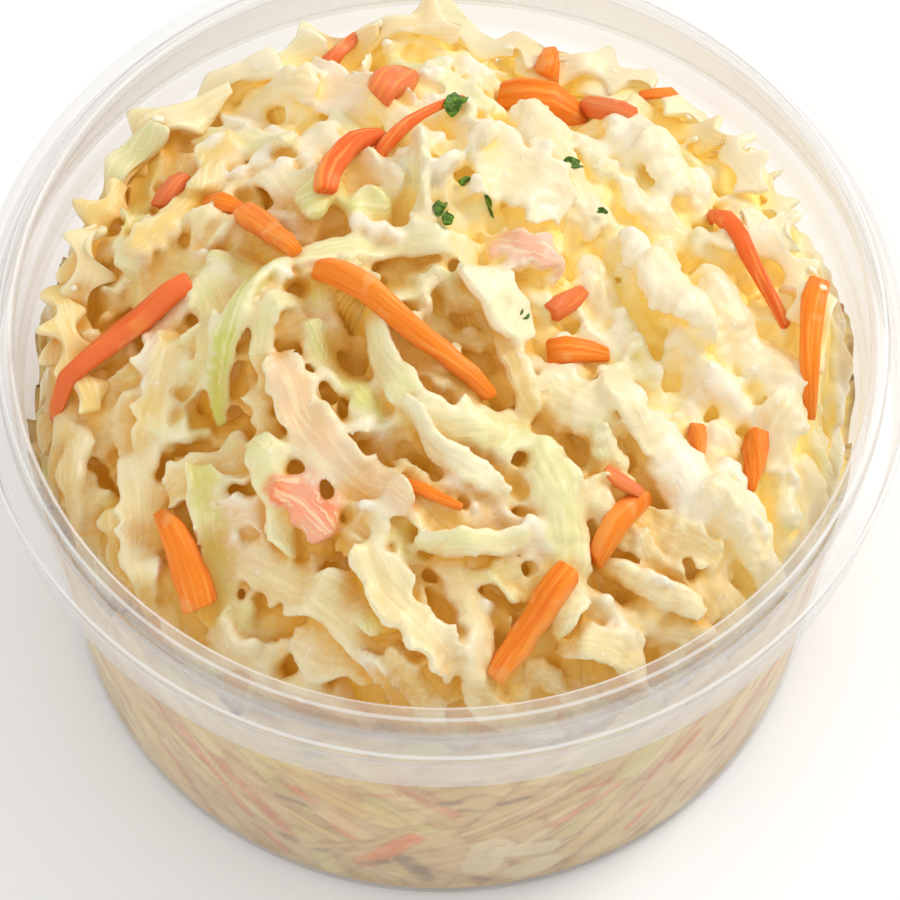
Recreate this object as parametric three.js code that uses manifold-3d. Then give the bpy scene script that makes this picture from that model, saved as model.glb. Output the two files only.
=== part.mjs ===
// Coleslaw heaped in its round see-through tub.
// Millimetres, +Z up. The origin is the middle of the tub's base, on the surface it stands on.
import * as THREE from 'three';
import { mergeVertices } from 'three/addons/utils/BufferGeometryUtils.js';
import Module from 'manifold-3d';

const wasm = await Module();
wasm.setup();

// ---------------------------------------------------------------- driving dimensions

// The tub
const TUB_HEIGHT = 65.7;
const RIM_RADIUS = 58.7;
const BASE_RADIUS = 51.4;
const BASE_CORNER = 2.6;
const CORNER_STEPS = 2;
const WALL = 1.0;
const LIP_INNER_RADIUS = 53.0;
const LIP_OUTER_RADIUS = 55.0;
const LIP_ROUND = 0.6;
const LIP_DEPTH = 3.4;
const LIP_FOOT_DEPTH = 2.0;
const FLANGE_DROP = 2.8;
const FLANGE_ROUND = 0.7;
const BEAD_HEIGHT = 3.0;
const SKIRT_RADIUS = 57.6;
const SKIRT_DROP = 13.8;
const SKIRT_WALL = 0.9;
const SKIRT_HOLLOW_TOP = 4.6;
const EASE = 0.3;
const SHOULDER_DROP = 7.8;
const SHOULDER_RADIUS = 54.2;
const SHOULDER_STEP = 0.2;
const GROOVE_RADIUS = 54.0;
const TURN_STEPS = 48;

// The heap
const HEAP_GAP = 0.3;
const HEAP_RADIUS = 52.5;
const HEAP_TOP = 77.0;
const HEAP_EDGE_HEIGHT = 54.5;
const HEAP_EDGE_TILT = 3.0;
const HEAP_DIP = 6.0;
const HEAP_DIP_PLACE = THREE.MathUtils.degToRad(62);
const HEAP_DIP_WIDTH = THREE.MathUtils.degToRad(26);
const HEAP_FULLNESS = 2.6;
const CORE_DEPTH = 4.2;
const CORE_LUMP = 1.2;
const CORE_LUMP_PITCH = 15.0;
const LUMP_TURN = 0.7;
const LUMP_SKEW = 0.06;
const CORE_RINGS = 6;
const CORE_RING_CROWDING = 0.8;
const CORE_SHOULDER = 0.5;
const STRIP_CLEARANCE = 0.15;
const GROUND_CELL = 0.8;
const WANT_REACH = 3.0;

// The cut vegetables
const LEAF_THICKNESS = 1.5;
const SHRED_THICKNESS = 1.3;
const CARROT_THICKNESS = 2.3;
const LOBE_PITCH = 3.6;
const LOBE_DEPTH = 0.16;
const PITCHES_A_LOBE = 1.3;
const EDGE_RIPPLE = 0.55;
const MOST_ROLL = THREE.MathUtils.degToRad(50);
const SAG = 0.2;
const PATH_STEP = 1.6;
const FOOTPRINT = 0.4;
const END_TAPER = 0.45;
const END_TAPER_POWER = 6;
const LOOK_AHEAD = 0.02;
const TIGHTENING_PASSES = 10;
const LEAF_HUMP = 1.0;
const SHRED_HUMP = 1.6;
const LEAF_CURL = 0.9;
const LOOSE_LEAVES = 9;
const LOOSE_SHREDS = 17;
const PLACES_TRIED = 18;
const LOOSE_BORDER = 6.0;
const SEED = 20261;

// ---------------------------------------------------------------- small helpers

const MERGE_DISTANCE = 1e-5;
const WORD_RANGE = 2 ** 32;

// A repeatable stream of numbers from 0 to 1.
function makeRandom(seed) {
  let state = seed;
  return () => {
    state = (state + 0x6d2b79f5) >>> 0;
    let mixed = Math.imul(state ^ (state >>> 15), state | 1);
    mixed ^= mixed + Math.imul(mixed ^ (mixed >>> 7), mixed | 61);
    return ((mixed ^ (mixed >>> 14)) >>> 0) / WORD_RANGE;
  };
}

function toSolid(geometry) {
  const bare = geometry.clone();
  bare.deleteAttribute('normal');
  bare.deleteAttribute('uv');
  const merged = mergeVertices(bare, MERGE_DISTANCE);
  return new wasm.Manifold(new wasm.Mesh({
    numProp: 3,
    vertProperties: new Float32Array(merged.attributes.position.array),
    triVerts: new Uint32Array(merged.index.array),
  }));
}

function toGeometry(solid) {
  const mesh = solid.getMesh();
  const geometry = new THREE.BufferGeometry();
  geometry.setAttribute('position', new THREE.BufferAttribute(mesh.vertProperties, 3));
  geometry.setIndex(new THREE.BufferAttribute(mesh.triVerts, 1));
  geometry.computeVertexNormals();
  return geometry;
}

// A profile of (radius, height) pairs turned about the Z axis.
function turned(profile) {
  const points = profile.map(([radius, height]) => new THREE.Vector2(radius, height));
  return new THREE.LatheGeometry(points, TURN_STEPS).rotateX(Math.PI / 2);
}

// The biggest connected piece: what is left out is a sealed hollow or a loose scrap.
function largestPiece(solid) {
  const pieces = solid.decompose();
  pieces.sort((a, b) => b.volume() - a.volume());
  return pieces[0];
}

// ---------------------------------------------------------------- the tub

function cornerArc(centreRadius, centreHeight, round) {
  const points = [];
  for (let i = 0; i <= CORNER_STEPS; i += 1) {
    const angle = (Math.PI / 2) * (i / CORNER_STEPS);
    points.push([centreRadius + round * Math.sin(angle), centreHeight - round * Math.cos(angle)]);
  }
  return points;
}

// Radius of the body's outside at a height, tapering from the shoulder down to the base.
function bodyRadius(height) {
  const shoulder = TUB_HEIGHT - SKIRT_DROP;
  const share = THREE.MathUtils.clamp((height - BASE_CORNER) / (shoulder - BASE_CORNER), 0, 1);
  return THREE.MathUtils.lerp(BASE_RADIUS, SHOULDER_RADIUS - SHOULDER_STEP, share);
}

function tubProfile() {
  const top = TUB_HEIGHT;
  const shoulder = top - SHOULDER_DROP;
  const skirtFoot = top - SKIRT_DROP;
  const hollowTop = top - SKIRT_HOLLOW_TOP;
  const beadFoot = top - FLANGE_DROP - BEAD_HEIGHT;
  const skirtInner = SKIRT_RADIUS - SKIRT_WALL;
  const cornerCentre = BASE_RADIUS - BASE_CORNER;
  const flange = top - FLANGE_DROP;
  const outside = [
    [0, 0],
    ...cornerArc(cornerCentre, BASE_CORNER, BASE_CORNER),
    [bodyRadius(skirtFoot), skirtFoot],
    [SHOULDER_RADIUS, shoulder],
    [LIP_OUTER_RADIUS, shoulder + WALL],
    [LIP_OUTER_RADIUS, hollowTop],
    [skirtInner, hollowTop - EASE],
    [skirtInner, skirtFoot + EASE],
    [skirtInner + EASE, skirtFoot],
    [SKIRT_RADIUS, skirtFoot + EASE],
    [SKIRT_RADIUS, beadFoot - SKIRT_WALL],
    [RIM_RADIUS - EASE, beadFoot],
    [RIM_RADIUS, flange - FLANGE_ROUND],
    [RIM_RADIUS - FLANGE_ROUND, flange],
    [LIP_OUTER_RADIUS + EASE, flange + FLANGE_ROUND],
    [LIP_OUTER_RADIUS, top - LIP_ROUND],
    [LIP_OUTER_RADIUS - LIP_ROUND, top],
  ];
  const inside = [
    [LIP_INNER_RADIUS + LIP_ROUND, top],
    [LIP_INNER_RADIUS, top - LIP_ROUND],
    [LIP_INNER_RADIUS, top - LIP_FOOT_DEPTH],
    [GROOVE_RADIUS, top - LIP_DEPTH],
    [GROOVE_RADIUS, shoulder + EASE],
    [SHOULDER_RADIUS - WALL, shoulder],
    [bodyRadius(skirtFoot) - WALL, skirtFoot],
    ...cornerArc(cornerCentre, BASE_CORNER, BASE_CORNER - WALL).reverse(),
    [0, WALL],
  ];
  return [...outside, ...inside];
}

// ---------------------------------------------------------------- the core of the heap

// Where the heap meets the wall: lower at the back, with a dip where less was heaped.
function edgeHeight(angle) {
  const fromDip = Math.atan2(Math.sin(angle - HEAP_DIP_PLACE), Math.cos(angle - HEAP_DIP_PLACE));
  const dip = HEAP_DIP * Math.exp(-((fromDip / HEAP_DIP_WIDTH) ** 2));
  return HEAP_EDGE_HEIGHT - HEAP_EDGE_TILT * Math.sin(angle) - dip;
}

function finishedHeight(x, y) {
  const share = Math.min(1, Math.hypot(x, y) / HEAP_RADIUS);
  const edge = edgeHeight(Math.atan2(y, x));
  return edge + (HEAP_TOP - edge) * (1 - share ** HEAP_FULLNESS);
}

function lump(x, y) {
  const turn = (2 * Math.PI) / CORE_LUMP_PITCH;
  return CORE_LUMP * Math.sin(x * turn + LUMP_TURN) * Math.cos(y * turn + LUMP_SKEW * x + LUMP_TURN);
}

function coreHeight(x, y) {
  return finishedHeight(x, y) - CORE_DEPTH + lump(x, y);
}

function wallRadius(height) {
  return bodyRadius(height) - WALL - HEAP_GAP;
}

// The lowest place of the core's edge, and the core's underside.
const CORE_EDGE = HEAP_EDGE_HEIGHT - HEAP_EDGE_TILT - HEAP_DIP - CORE_DEPTH - CORE_LUMP;
const HEAP_FOOT = WALL + HEAP_GAP;

function coreProfile() {
  const profile = [
    [0, HEAP_FOOT],
    [BASE_RADIUS - BASE_CORNER - HEAP_GAP, HEAP_FOOT],
    [wallRadius(BASE_CORNER), BASE_CORNER + HEAP_GAP],
    [wallRadius(CORE_EDGE), CORE_EDGE],
  ];
  for (let i = 1; i <= CORE_RINGS; i += 1) {
    const radius = wallRadius(CORE_EDGE) * (1 - i / CORE_RINGS) ** CORE_RING_CROWDING;
    profile.push([radius, CORE_EDGE + i]);
  }
  return profile;
}

// The dome's own points are lifted and sunk by the lumps, the wall and the foot stay true.
function makeCore() {
  const geometry = turned(coreProfile());
  const places = geometry.attributes.position;
  for (let i = 0; i < places.count; i += 1) {
    const x = places.getX(i);
    const y = places.getY(i);
    const height = places.getZ(i);
    if (height > CORE_EDGE + CORE_SHOULDER) {
      places.setZ(i, coreHeight(x, y));
    } else if (height > CORE_EDGE - CORE_SHOULDER) {
      const top = coreHeight(x, y) - CORE_SHOULDER;
      const out = wallRadius(top) / Math.hypot(x, y);
      places.setXYZ(i, x * out, y * out, top);
    }
  }
  return toSolid(geometry);
}

// ---------------------------------------------------------------- laying strips on the heap

// How high the heap stands at each cell of a square grid, while strips are laid on it.
class Ground {
  constructor() {
    this.reach = HEAP_RADIUS + WANT_REACH;
    this.count = Math.ceil((2 * this.reach) / GROUND_CELL) + 1;
    this.heights = new Float64Array(this.count * this.count);
    for (let row = 0; row < this.count; row += 1) {
      for (let column = 0; column < this.count; column += 1) {
        const x = column * GROUND_CELL - this.reach;
        const y = row * GROUND_CELL - this.reach;
        this.heights[row * this.count + column] = coreHeight(x, y);
      }
    }
  }

  cell(x, y) {
    const last = this.count - 1;
    const column = THREE.MathUtils.clamp(Math.round((x + this.reach) / GROUND_CELL), 0, last);
    const row = THREE.MathUtils.clamp(Math.round((y + this.reach) / GROUND_CELL), 0, last);
    return row * this.count + column;
  }

  height(x, y) {
    return this.heights[this.cell(x, y)];
  }

  raise(x, y, z) {
    const cell = this.cell(x, y);
    this.heights[cell] = Math.max(this.heights[cell], z);
  }

  // How far the heap is below its finished outline round a place.
  want(x, y) {
    const sides = [[0, 0], [1, 0], [-1, 0], [0, 1], [0, -1]];
    let total = 0;
    for (const [right, back] of sides) {
      const nearX = x + right * WANT_REACH;
      const nearY = y + back * WANT_REACH;
      total += finishedHeight(nearX, nearY) - this.height(nearX, nearY);
    }
    return total / sides.length;
  }
}

// The middle line of a strip: flat arc first, then dropped on the ground and pulled tight.
function layPath(ground, strip) {
  const steps = Math.max(4, Math.round(strip.length / PATH_STEP));
  const path = [];
  const stepLength = strip.length / steps;
  let x = 0;
  let y = 0;
  for (let i = 0; i <= steps; i += 1) {
    const turn = strip.heading + strip.bend * (i / steps - 0.5);
    path.push({ x, y, turn });
    x += Math.cos(turn) * stepLength;
    y += Math.sin(turn) * stepLength;
  }
  const middle = path[Math.round(steps / 2)];
  const shift = { x: strip.x - middle.x, y: strip.y - middle.y };
  const half = strip.width * FOOTPRINT;
  for (let i = 0; i <= steps; i += 1) {
    const point = path[i];
    point.x += shift.x;
    point.y += shift.y;
    const sideX = -Math.sin(point.turn) * half;
    const sideY = Math.cos(point.turn) * half;
    const left = ground.height(point.x + sideX, point.y + sideY);
    const right = ground.height(point.x - sideX, point.y - sideY);
    const centre = ground.height(point.x, point.y);
    point.roll = THREE.MathUtils.clamp(Math.atan2(left - right, 2 * half), -MOST_ROLL, MOST_ROLL);
    const hump = strip.hump * Math.sin((Math.PI * i) / steps) ** 2;
    point.z = Math.max(centre, (left + right) / 2) + strip.thickness / 2 + hump;
  }
  for (let pass = 0; pass < TIGHTENING_PASSES; pass += 1) {
    for (let i = 1; i < steps; i += 1) {
      const before = path[i - 1];
      const after = path[i + 1];
      path[i].z = Math.max(path[i].z, (before.z + after.z) / 2 - SAG);
      path[i].roll = (before.roll + path[i].roll * 2 + after.roll) / 4;
    }
  }
  return path;
}

function raiseGround(ground, strip, path) {
  for (const point of path) {
    for (let across = -1; across <= 1; across += 0.25) {
      const reach = (across * strip.width) / 2;
      const x = point.x - Math.sin(point.turn) * reach;
      const y = point.y + Math.cos(point.turn) * reach;
      ground.raise(x, y, point.z + reach * Math.tan(point.roll) + strip.thickness / 2);
    }
  }
}

function between(path, share) {
  const place = THREE.MathUtils.clamp(share, 0, 1) * (path.length - 1);
  const low = Math.min(Math.floor(place), path.length - 2);
  const part = place - low;
  const mix = (name) => THREE.MathUtils.lerp(path[low][name], path[low + 1][name], part);
  return { x: mix('x'), y: mix('y'), z: mix('z'), roll: mix('roll'), turn: mix('turn') };
}

// A box with rows of points, bent along the path. Both faces take the same waves.
function shapeStrip(strip, path) {
  const { along, across, lobes, phase } = strip;
  const geometry = new THREE.BoxGeometry(1, 1, 1, along, across, 1);
  const places = geometry.attributes.position;
  const here = new THREE.Vector3();
  const lengthways = new THREE.Vector3();
  const sideways = new THREE.Vector3();
  const outwards = new THREE.Vector3();
  for (let i = 0; i < places.count; i += 1) {
    const share = places.getX(i) + 0.5;
    const side = places.getY(i) * 2;
    const face = places.getZ(i);
    const point = between(path, share);
    const next = between(path, share + LOOK_AHEAD);
    const last = between(path, share - LOOK_AHEAD);
    lengthways.set(next.x - last.x, next.y - last.y, next.z - last.z).normalize();
    sideways.set(-Math.sin(point.turn), Math.cos(point.turn), Math.tan(point.roll)).normalize();
    outwards.crossVectors(lengthways, sideways).normalize();
    const wave = Math.cos(lobes * 2 * Math.PI * share + phase + side);
    const taper = 1 - END_TAPER * Math.abs(2 * share - 1) ** END_TAPER_POWER;
    const reach = ((side * strip.width) / 2) * taper * (1 + strip.lobeDepth * wave);
    const ripple = strip.ripple * Math.abs(side) * Math.sin(lobes * Math.PI * share * 2 + phase * 2);
    const curl = strip.curl * side * side;
    here.set(point.x, point.y, point.z);
    here.addScaledVector(sideways, reach);
    here.addScaledVector(outwards, face * strip.thickness + ripple + curl);
    places.setXYZ(i, here.x, here.y, here.z);
  }
  return toSolid(geometry);
}

// ---------------------------------------------------------------- the cut vegetables

const DEGREE = Math.PI / 180;

function countLobes(length) {
  return Math.max(2, Math.round(length / LOBE_PITCH / PITCHES_A_LOBE));
}

function leaf(x, y, heading, length, width, bend = 0) {
  return {
    x, y, length, width,
    curl: LEAF_CURL * Math.sin(x * 1.7 + y),
    hump: LEAF_HUMP,
    heading: heading * DEGREE,
    bend: bend * DEGREE,
    thickness: LEAF_THICKNESS,
    along: Math.max(4, Math.round(length / 3.5)),
    across: 2,
    lobes: countLobes(length),
    lobeDepth: LOBE_DEPTH,
    ripple: EDGE_RIPPLE,
    phase: x + y,
  };
}

function shred(x, y, heading, length, width, bend = 0) {
  return {
    x, y, length, width,
    heading: heading * DEGREE,
    bend: bend * DEGREE,
    curl: 0,
    hump: SHRED_HUMP,
    thickness: SHRED_THICKNESS,
    along: Math.max(3, Math.round(length / 4.0)),
    across: 1,
    lobes: countLobes(length),
    lobeDepth: LOBE_DEPTH,
    ripple: EDGE_RIPPLE * 0.5,
    phase: x - y,
  };
}

function carrot(x, y, heading, length, width, bend = 0) {
  return {
    x, y, length, width,
    heading: heading * DEGREE,
    bend: bend * DEGREE,
    curl: 0,
    hump: 0,
    thickness: CARROT_THICKNESS,
    along: Math.max(2, Math.round(length / 6)),
    across: 1,
    lobes: 1,
    lobeDepth: 0.06,
    ripple: 0,
    phase: x,
  };
}

// The big cabbage leaves on top, each at its own place: x, y, heading, length, width, bend.
const topLeaves = [
  leaf(-36, -25, -85, 25, 6.5, 20),
  leaf(-31, -10, 5, 21, 5.6, 40),
  leaf(-29, 0, -55, 20, 7.3, -20),
  leaf(-45, -15, -80, 30, 6.0, -30),
  leaf(-40, 7, 60, 13, 7.0, 15),
  leaf(-45, 14, -55, 17, 5.2, 15),
  leaf(-33, 25, -40, 24, 7.5, 25),
  leaf(-28, 34, -55, 18, 7.5, -20),
  leaf(-20, 37, -80, 20, 5.6, 15),
  leaf(-11, 28, -35, 20, 8.5, 15),
  leaf(-19, 13, -55, 19, 8.0, 30),
  leaf(39, 20, -100, 22, 7.0, -15),
  leaf(44, 8, -98, 19, 7.0, 20),
  leaf(26, 26, -60, 20, 8.6, -25),
  leaf(14, 18, -65, 22, 8.5, 20),
  leaf(42, -13, 70, 15, 7.4, 10),
  leaf(29, -24, -60, 21, 8.6, -20),
  leaf(37, -3, -50, 19, 8.4, 20),
  leaf(28, -1, -55, 13, 8.0, -15),
  leaf(0, -44, -60, 12, 7.1, 15),
  leaf(-10, -46, -12, 17, 5.0, 20),
  leaf(23, -40, -5, 19, 4.3, -15),
  leaf(37, -28, -30, 12, 6.8, 15),
  leaf(-14, -40, -30, 23, 7.2, -25),
  leaf(-6, -37, -85, 15, 8.0, 10),
  leaf(-26, -24, 10, 14, 7.5, -20),
  leaf(16, -17, -30, 13, 8.4, 15),
  leaf(-4, 12, -83, 18, 7.6, -15),
  leaf(9, 14, -35, 13, 7.8, 15),
];

const topShreds = [
  shred(19, -44, -10, 11, 4.4, 10),
  shred(14, -30, -87, 18, 5.0, 15),
  shred(25, -37, -20, 14, 3.6, -15),
  shred(-8, -16, -60, 15, 3.8, 30),
  shred(3, -20, 15, 16, 4.7, 40),
  shred(-21, -8, 73, 16, 4.2, -60),
  shred(-8, 2, 11, 23, 3.7, 10),
];

const topCarrots = [
  carrot(-39, -4, 36, 20, 3.6, 15),
  carrot(-30, -34, -68, 12, 3.4, -10),
  carrot(11, -43, 52, 14, 3.4),
  carrot(21, -31, 56, 11, 2.8),
  carrot(45, -4, -95, 16, 3.2, 25),
  carrot(12, 34, -12, 11, 4.0),
  carrot(21, 32, -40, 8, 3.0),
  carrot(31, 37, 15, 11, 3.0, -15),
  carrot(-12, 10, 63, 14, 3.3, -50),
  carrot(10, 3, -23, 9, 3.7),
  carrot(-13, -33, -38, 9, 4.8),
  carrot(16, -9, 6, 7, 3.8),
  carrot(-7, 29, 56, 7, 4.2),
  carrot(38, -19, -98, 7, 3.3),
];

// What lies over everything else.
const lastPieces = [
  leaf(-13, -21, -43, 23, 6.5, 10),
  leaf(4, -5, -63, 12, 8.0, 10),
  carrot(-21, 4, -55, 11, 2.8),
  carrot(-5, -10, -34, 24.6, 3.1),
];

// A piece no one places: where the heap is lowest, lying any way round.
function loosePiece(ground, random, make, shortest, longest, thinnest, widest) {
  let best = { want: -Infinity };
  for (let i = 0; i < PLACES_TRIED; i += 1) {
    const radius = (HEAP_RADIUS - LOOSE_BORDER) * Math.sqrt(random());
    const angle = 2 * Math.PI * random();
    const x = radius * Math.cos(angle);
    const y = radius * Math.sin(angle);
    const want = ground.want(x, y);
    if (want > best.want) {
      best = { x, y, want };
    }
  }
  const heading = 360 * random();
  const length = THREE.MathUtils.lerp(shortest, longest, random());
  const width = THREE.MathUtils.lerp(thinnest, widest, random());
  return make(best.x, best.y, heading, length, width, 90 * (random() - 0.5));
}

// The room inside the tub that the strips are trimmed to.
function makeRoom() {
  const foot = HEAP_FOOT + STRIP_CLEARANCE;
  const ceiling = HEAP_TOP * 1.5;
  const mouth = wallRadius(HEAP_EDGE_HEIGHT) - STRIP_CLEARANCE;
  return toSolid(turned([
    [0, foot],
    [BASE_RADIUS - 2 * BASE_CORNER, foot],
    [wallRadius(CORE_EDGE) - STRIP_CLEARANCE, CORE_EDGE],
    [mouth, HEAP_EDGE_HEIGHT],
    [mouth, ceiling],
    [0, ceiling],
  ]));
}

function makeColeslaw() {
  const ground = new Ground();
  const random = makeRandom(SEED);
  const solids = [];
  const lay = (strip) => {
    const path = layPath(ground, strip);
    raiseGround(ground, strip, path);
    solids.push(shapeStrip(strip, path));
  };
  topLeaves.forEach(lay);
  for (let i = 0; i < LOOSE_LEAVES; i += 1) {
    lay(loosePiece(ground, random, leaf, 13, 22, 5.0, 7.5));
  }
  for (let i = 0; i < LOOSE_SHREDS; i += 1) {
    lay(loosePiece(ground, random, shred, 12, 24, 2.6, 4.4));
  }
  [...topShreds, ...topCarrots, ...lastPieces].forEach(lay);
  const strips = wasm.Manifold.union(solids).intersect(makeRoom());
  return largestPiece(makeCore().add(strips));
}

// ---------------------------------------------------------------- the finished object

function addMesh(group, name, geometry, material) {
  const mesh = new THREE.Mesh(geometry, new THREE.MeshStandardMaterial(material));
  mesh.name = name;
  group.add(mesh);
}

const group = new THREE.Group();
const clearPlastic = { color: 0xe6e4de, roughness: 0.25, metalness: 0, transparent: true, opacity: 0.45 };
const creamySalad = { color: 0xf2e3b8, roughness: 0.45, metalness: 0 };
addMesh(group, 'tub', toGeometry(toSolid(turned(tubProfile()))), clearPlastic);
addMesh(group, 'coleslaw', toGeometry(makeColeslaw()), creamySalad);

export default group;
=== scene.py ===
"""Coleslaw heaped in its round see-through tub: the looks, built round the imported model."""

import math
from dataclasses import dataclass, replace

import bmesh
import bpy
import numpy as np
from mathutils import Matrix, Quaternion, Vector
from mathutils.kdtree import KDTree
from mathutils.noise import noise


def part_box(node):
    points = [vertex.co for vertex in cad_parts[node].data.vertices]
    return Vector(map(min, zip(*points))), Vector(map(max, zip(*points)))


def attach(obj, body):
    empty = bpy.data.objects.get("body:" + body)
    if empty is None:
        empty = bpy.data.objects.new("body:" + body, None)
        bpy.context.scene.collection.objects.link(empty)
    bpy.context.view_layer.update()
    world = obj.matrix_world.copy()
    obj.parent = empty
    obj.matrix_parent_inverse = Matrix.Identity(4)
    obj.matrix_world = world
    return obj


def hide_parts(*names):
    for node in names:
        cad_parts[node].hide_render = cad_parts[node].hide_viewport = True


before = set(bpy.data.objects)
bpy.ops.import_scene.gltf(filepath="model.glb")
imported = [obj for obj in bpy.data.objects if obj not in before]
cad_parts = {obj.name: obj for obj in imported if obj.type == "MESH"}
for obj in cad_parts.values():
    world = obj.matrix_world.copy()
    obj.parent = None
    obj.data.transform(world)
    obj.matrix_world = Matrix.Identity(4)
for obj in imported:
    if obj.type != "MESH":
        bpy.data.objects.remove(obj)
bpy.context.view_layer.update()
_, tub_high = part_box("tub")

# ---- driving sizes, in millimetres

MM = 0.001
TUB_HEIGHT = tub_high.z / MM
RIM_RADIUS = tub_high.x / MM

# The tub, with each ring given by its radius and by how far it lies below the top
BASE_RADIUS = 51.4
BASE_CORNER = 2.6
WALL = 1.0
LIP_INNER_RADIUS = 53.0
LIP_OUTER_RADIUS = 55.0
LIP_ROUND = 0.6
LIP_DEPTH = 3.4
LIP_FOOT_DEPTH = 2.0
FLANGE_DROP = 2.8
FLANGE_ROUND = 0.7
BEAD_HEIGHT = 3.0
SKIRT_RADIUS = 57.6
SKIRT_DROP = 13.8
SKIRT_WALL = 0.9
SKIRT_HOLLOW_TOP = 4.6
EASE = 0.3
SHOULDER_DROP = 7.8
SHOULDER_RADIUS = 54.2
SHOULDER_STEP = 0.2
GROOVE_RADIUS = 54.0
TUB_STEPS = 160
TUB_EASE = 0.22
TUB_EASE_FROM = math.radians(18)

# The heap
HEAP_RADIUS = 52.5
HEAP_TOP = 77.0
HEAP_EDGE_HEIGHT = 54.5
HEAP_EDGE_TILT = 3.0
HEAP_DIP = 6.0
HEAP_DIP_PLACE = math.radians(62)
HEAP_DIP_WIDTH = math.radians(26)
HEAP_FULLNESS = 2.6
CORE_DEPTH = 15.0
CORE_LUMP = 2.0
CORE_LUMP_PITCH = 14.0

# The dressed bed under the pieces and against the wall
BED_STEPS = 560
BED_PITCH = 0.6
DOME_PITCH = 1.2
BED_BITE = 0.45
BED_FOOT = 0.55
BED_SINK = 3.4
BED_SMOOTHING = 1.2
BED_LUMP = 1.1
BED_LUMP_PITCH = 2.6
PRESS_DEPTH = 0.35
PRESS_BLUR = 1.5
CRISP_BLUR = 0.7
PRESSED_COVER = 0.75
# How much painted gap shade the bed's dome takes at least, and its wall where nothing is pressed to it
DOME_HOLLOW = 0.45
WALL_HOLLOW = 0.22

# Laying pieces on the heap
GROUND_CELL = 0.5
PATH_STEP = 1.0
FEWEST_STEPS = 6
SUPPORTS = np.linspace(-0.42, 0.42, 5)
RESTING_SHARE = 0.35
TILT_LIFT = 0.25
TIGHTENING_PASSES = 14
STIFF_PASSES = 70
SAG = 0.07
CARROT_SAG = 0.004
MOST_ROLL = math.radians(52)
WAVE_LENGTH = 11.0
FOOTPRINT_ROWS = 13
LOBE_WANDER = 0.45
LOBE_WANDER_RATE = 1.4
LOBE_SIDE_SHIFT = 0.7
LOBE_SHARPNESS = 0.8
LOBE_LEAST = 0.3
LOBE_UNEVEN_RATE = 2.3
LOBE_FADE = 1.5
END_SHARPNESS = 5
CUP_MIDDLE = 0.35
EDGE_THINNING = 0.3
END_THINNING = 0.65
PRESS_IN = 0.35
NESTING = 0.55
WALL_CROWDING = 1.2
WALL_CLEARANCE = 0.5
LOOK = 1.3
LOOSE_BELOW = 8.6
LOOSE_BELOW_AT_EDGE = 0.8
UNDER_BED = 0.9
SHOWN_SHARE = 0.04
# How much each piece pales towards its edges as a painted highlight, and how close to the edge that starts
EDGE_PALENESS = 0.75
EDGE_SHARPNESS = 4
PIECE_SPACING = 7.3
SLAB_STEP = 0.8
SLAB_FEWEST_STEPS = 8
WIDE_FROM = 4.5
WIDE_STEPS = 7
NARROW_STEPS = 5
BAR_STEP = 2.5
BAR_STRETCH = 6.0
BAR_EASE = 0.34
HOLLOW_STEPS = (1.0, 2.0, 3.5, 5.5)
HOLLOW_WAYS = 10
FUSE_CELL = 0.47
FUSE_SMOOTHING = 3
NEAREST = 4
NEAR_SOFTNESS = 0.1
QUAD = 4
CURD_PITCH = 2.3
CURD_HEIGHT = 0.7
CURD_MIDDLE = 0.3
CURD_CREASE = 0.05
SMOOTH_HEIGHT = 0.2
CURDS_FROM = -8.0
CURDS_TO = 14.0

SEED = 20261
random = np.random.default_rng(SEED)

# The view
VIEW_TARGET = Vector((1.09, 0.0, 30.5))
VIEW_ELEVATION = math.radians(61.31)
VIEW_DISTANCE = 450.0
VIEW_ROLL = math.radians(0.70)
VIEW_LENS = 135.79
VIEW_SENSOR = 36.0


def seen(red, green, blue):
    """A colour as the eye sees it, 0 to 255, turned into the linear one that shaders take."""
    parts = [part / 255 for part in (red, green, blue)]
    return np.array([((part + 0.055) / 1.055) ** 2.4 for part in parts] + [1.0])


WHITE = seen(244, 234, 210)
CREAM = seen(238, 219, 164)
GOLDEN = seen(237, 206, 126)
LEAF_GREEN = seen(217, 211, 124)
PALE_GREEN = seen(227, 222, 160)
STEM_GREEN = seen(200, 204, 92)
PEACH = seen(242, 204, 158)
RIB = seen(238, 230, 186)
# The colour of the painted highlight along each piece's edges
EDGE_HIGHLIGHT = seen(243, 231, 192)
SALMON = seen(238, 124, 68)
CARROT = seen(251, 136, 22)
RED_CARROT = seen(239, 102, 32)
HERB = seen(56, 84, 4)
# Painted shade deep between the pieces: ochre at the heap's left, amber at its right
OCHRE = seen(214, 156, 28)
AMBER = seen(250, 219, 112)
DRESSING = seen(222, 190, 138)
WALL_SHADE = np.array([0.8, 0.7, 0.48, 1.0])
CREASE_SHADE = np.array([0.8, 0.7, 0.58, 1.0])
PRESSED_FROM_RADIUS = 50.0
PRESSED_BELOW = 56.5
PRESSED_FADE = 3.0
LOW_SHADE = 0.72
LOW_SHADE_TO = 24.0
BROWN = seen(128, 96, 58)
# How brightly the painted gap shade glows: a painted glow that stands in for light bounced between the
# pieces
GAP_GLOW = 0.13
LINE_WIDTH = 0.24


# ---- shader helpers


class Value:
    """A shader socket that can be used in sums and products."""

    def __init__(self, paint, socket):
        self.paint = paint
        self.socket = socket

    def _with(self, operation, first, second):
        return self.paint.add("Math", {"operation": operation}, {0: first, 1: second})

    def __add__(self, other):
        return self._with("ADD", self, other)

    def __mul__(self, other):
        return self._with("MULTIPLY", self, other)

    def __sub__(self, other):
        return self._with("SUBTRACT", self, other)

    def __rsub__(self, other):
        return self._with("SUBTRACT", other, self)

    def __pow__(self, other):
        return self._with("POWER", self, other)

    __radd__ = __add__


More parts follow.
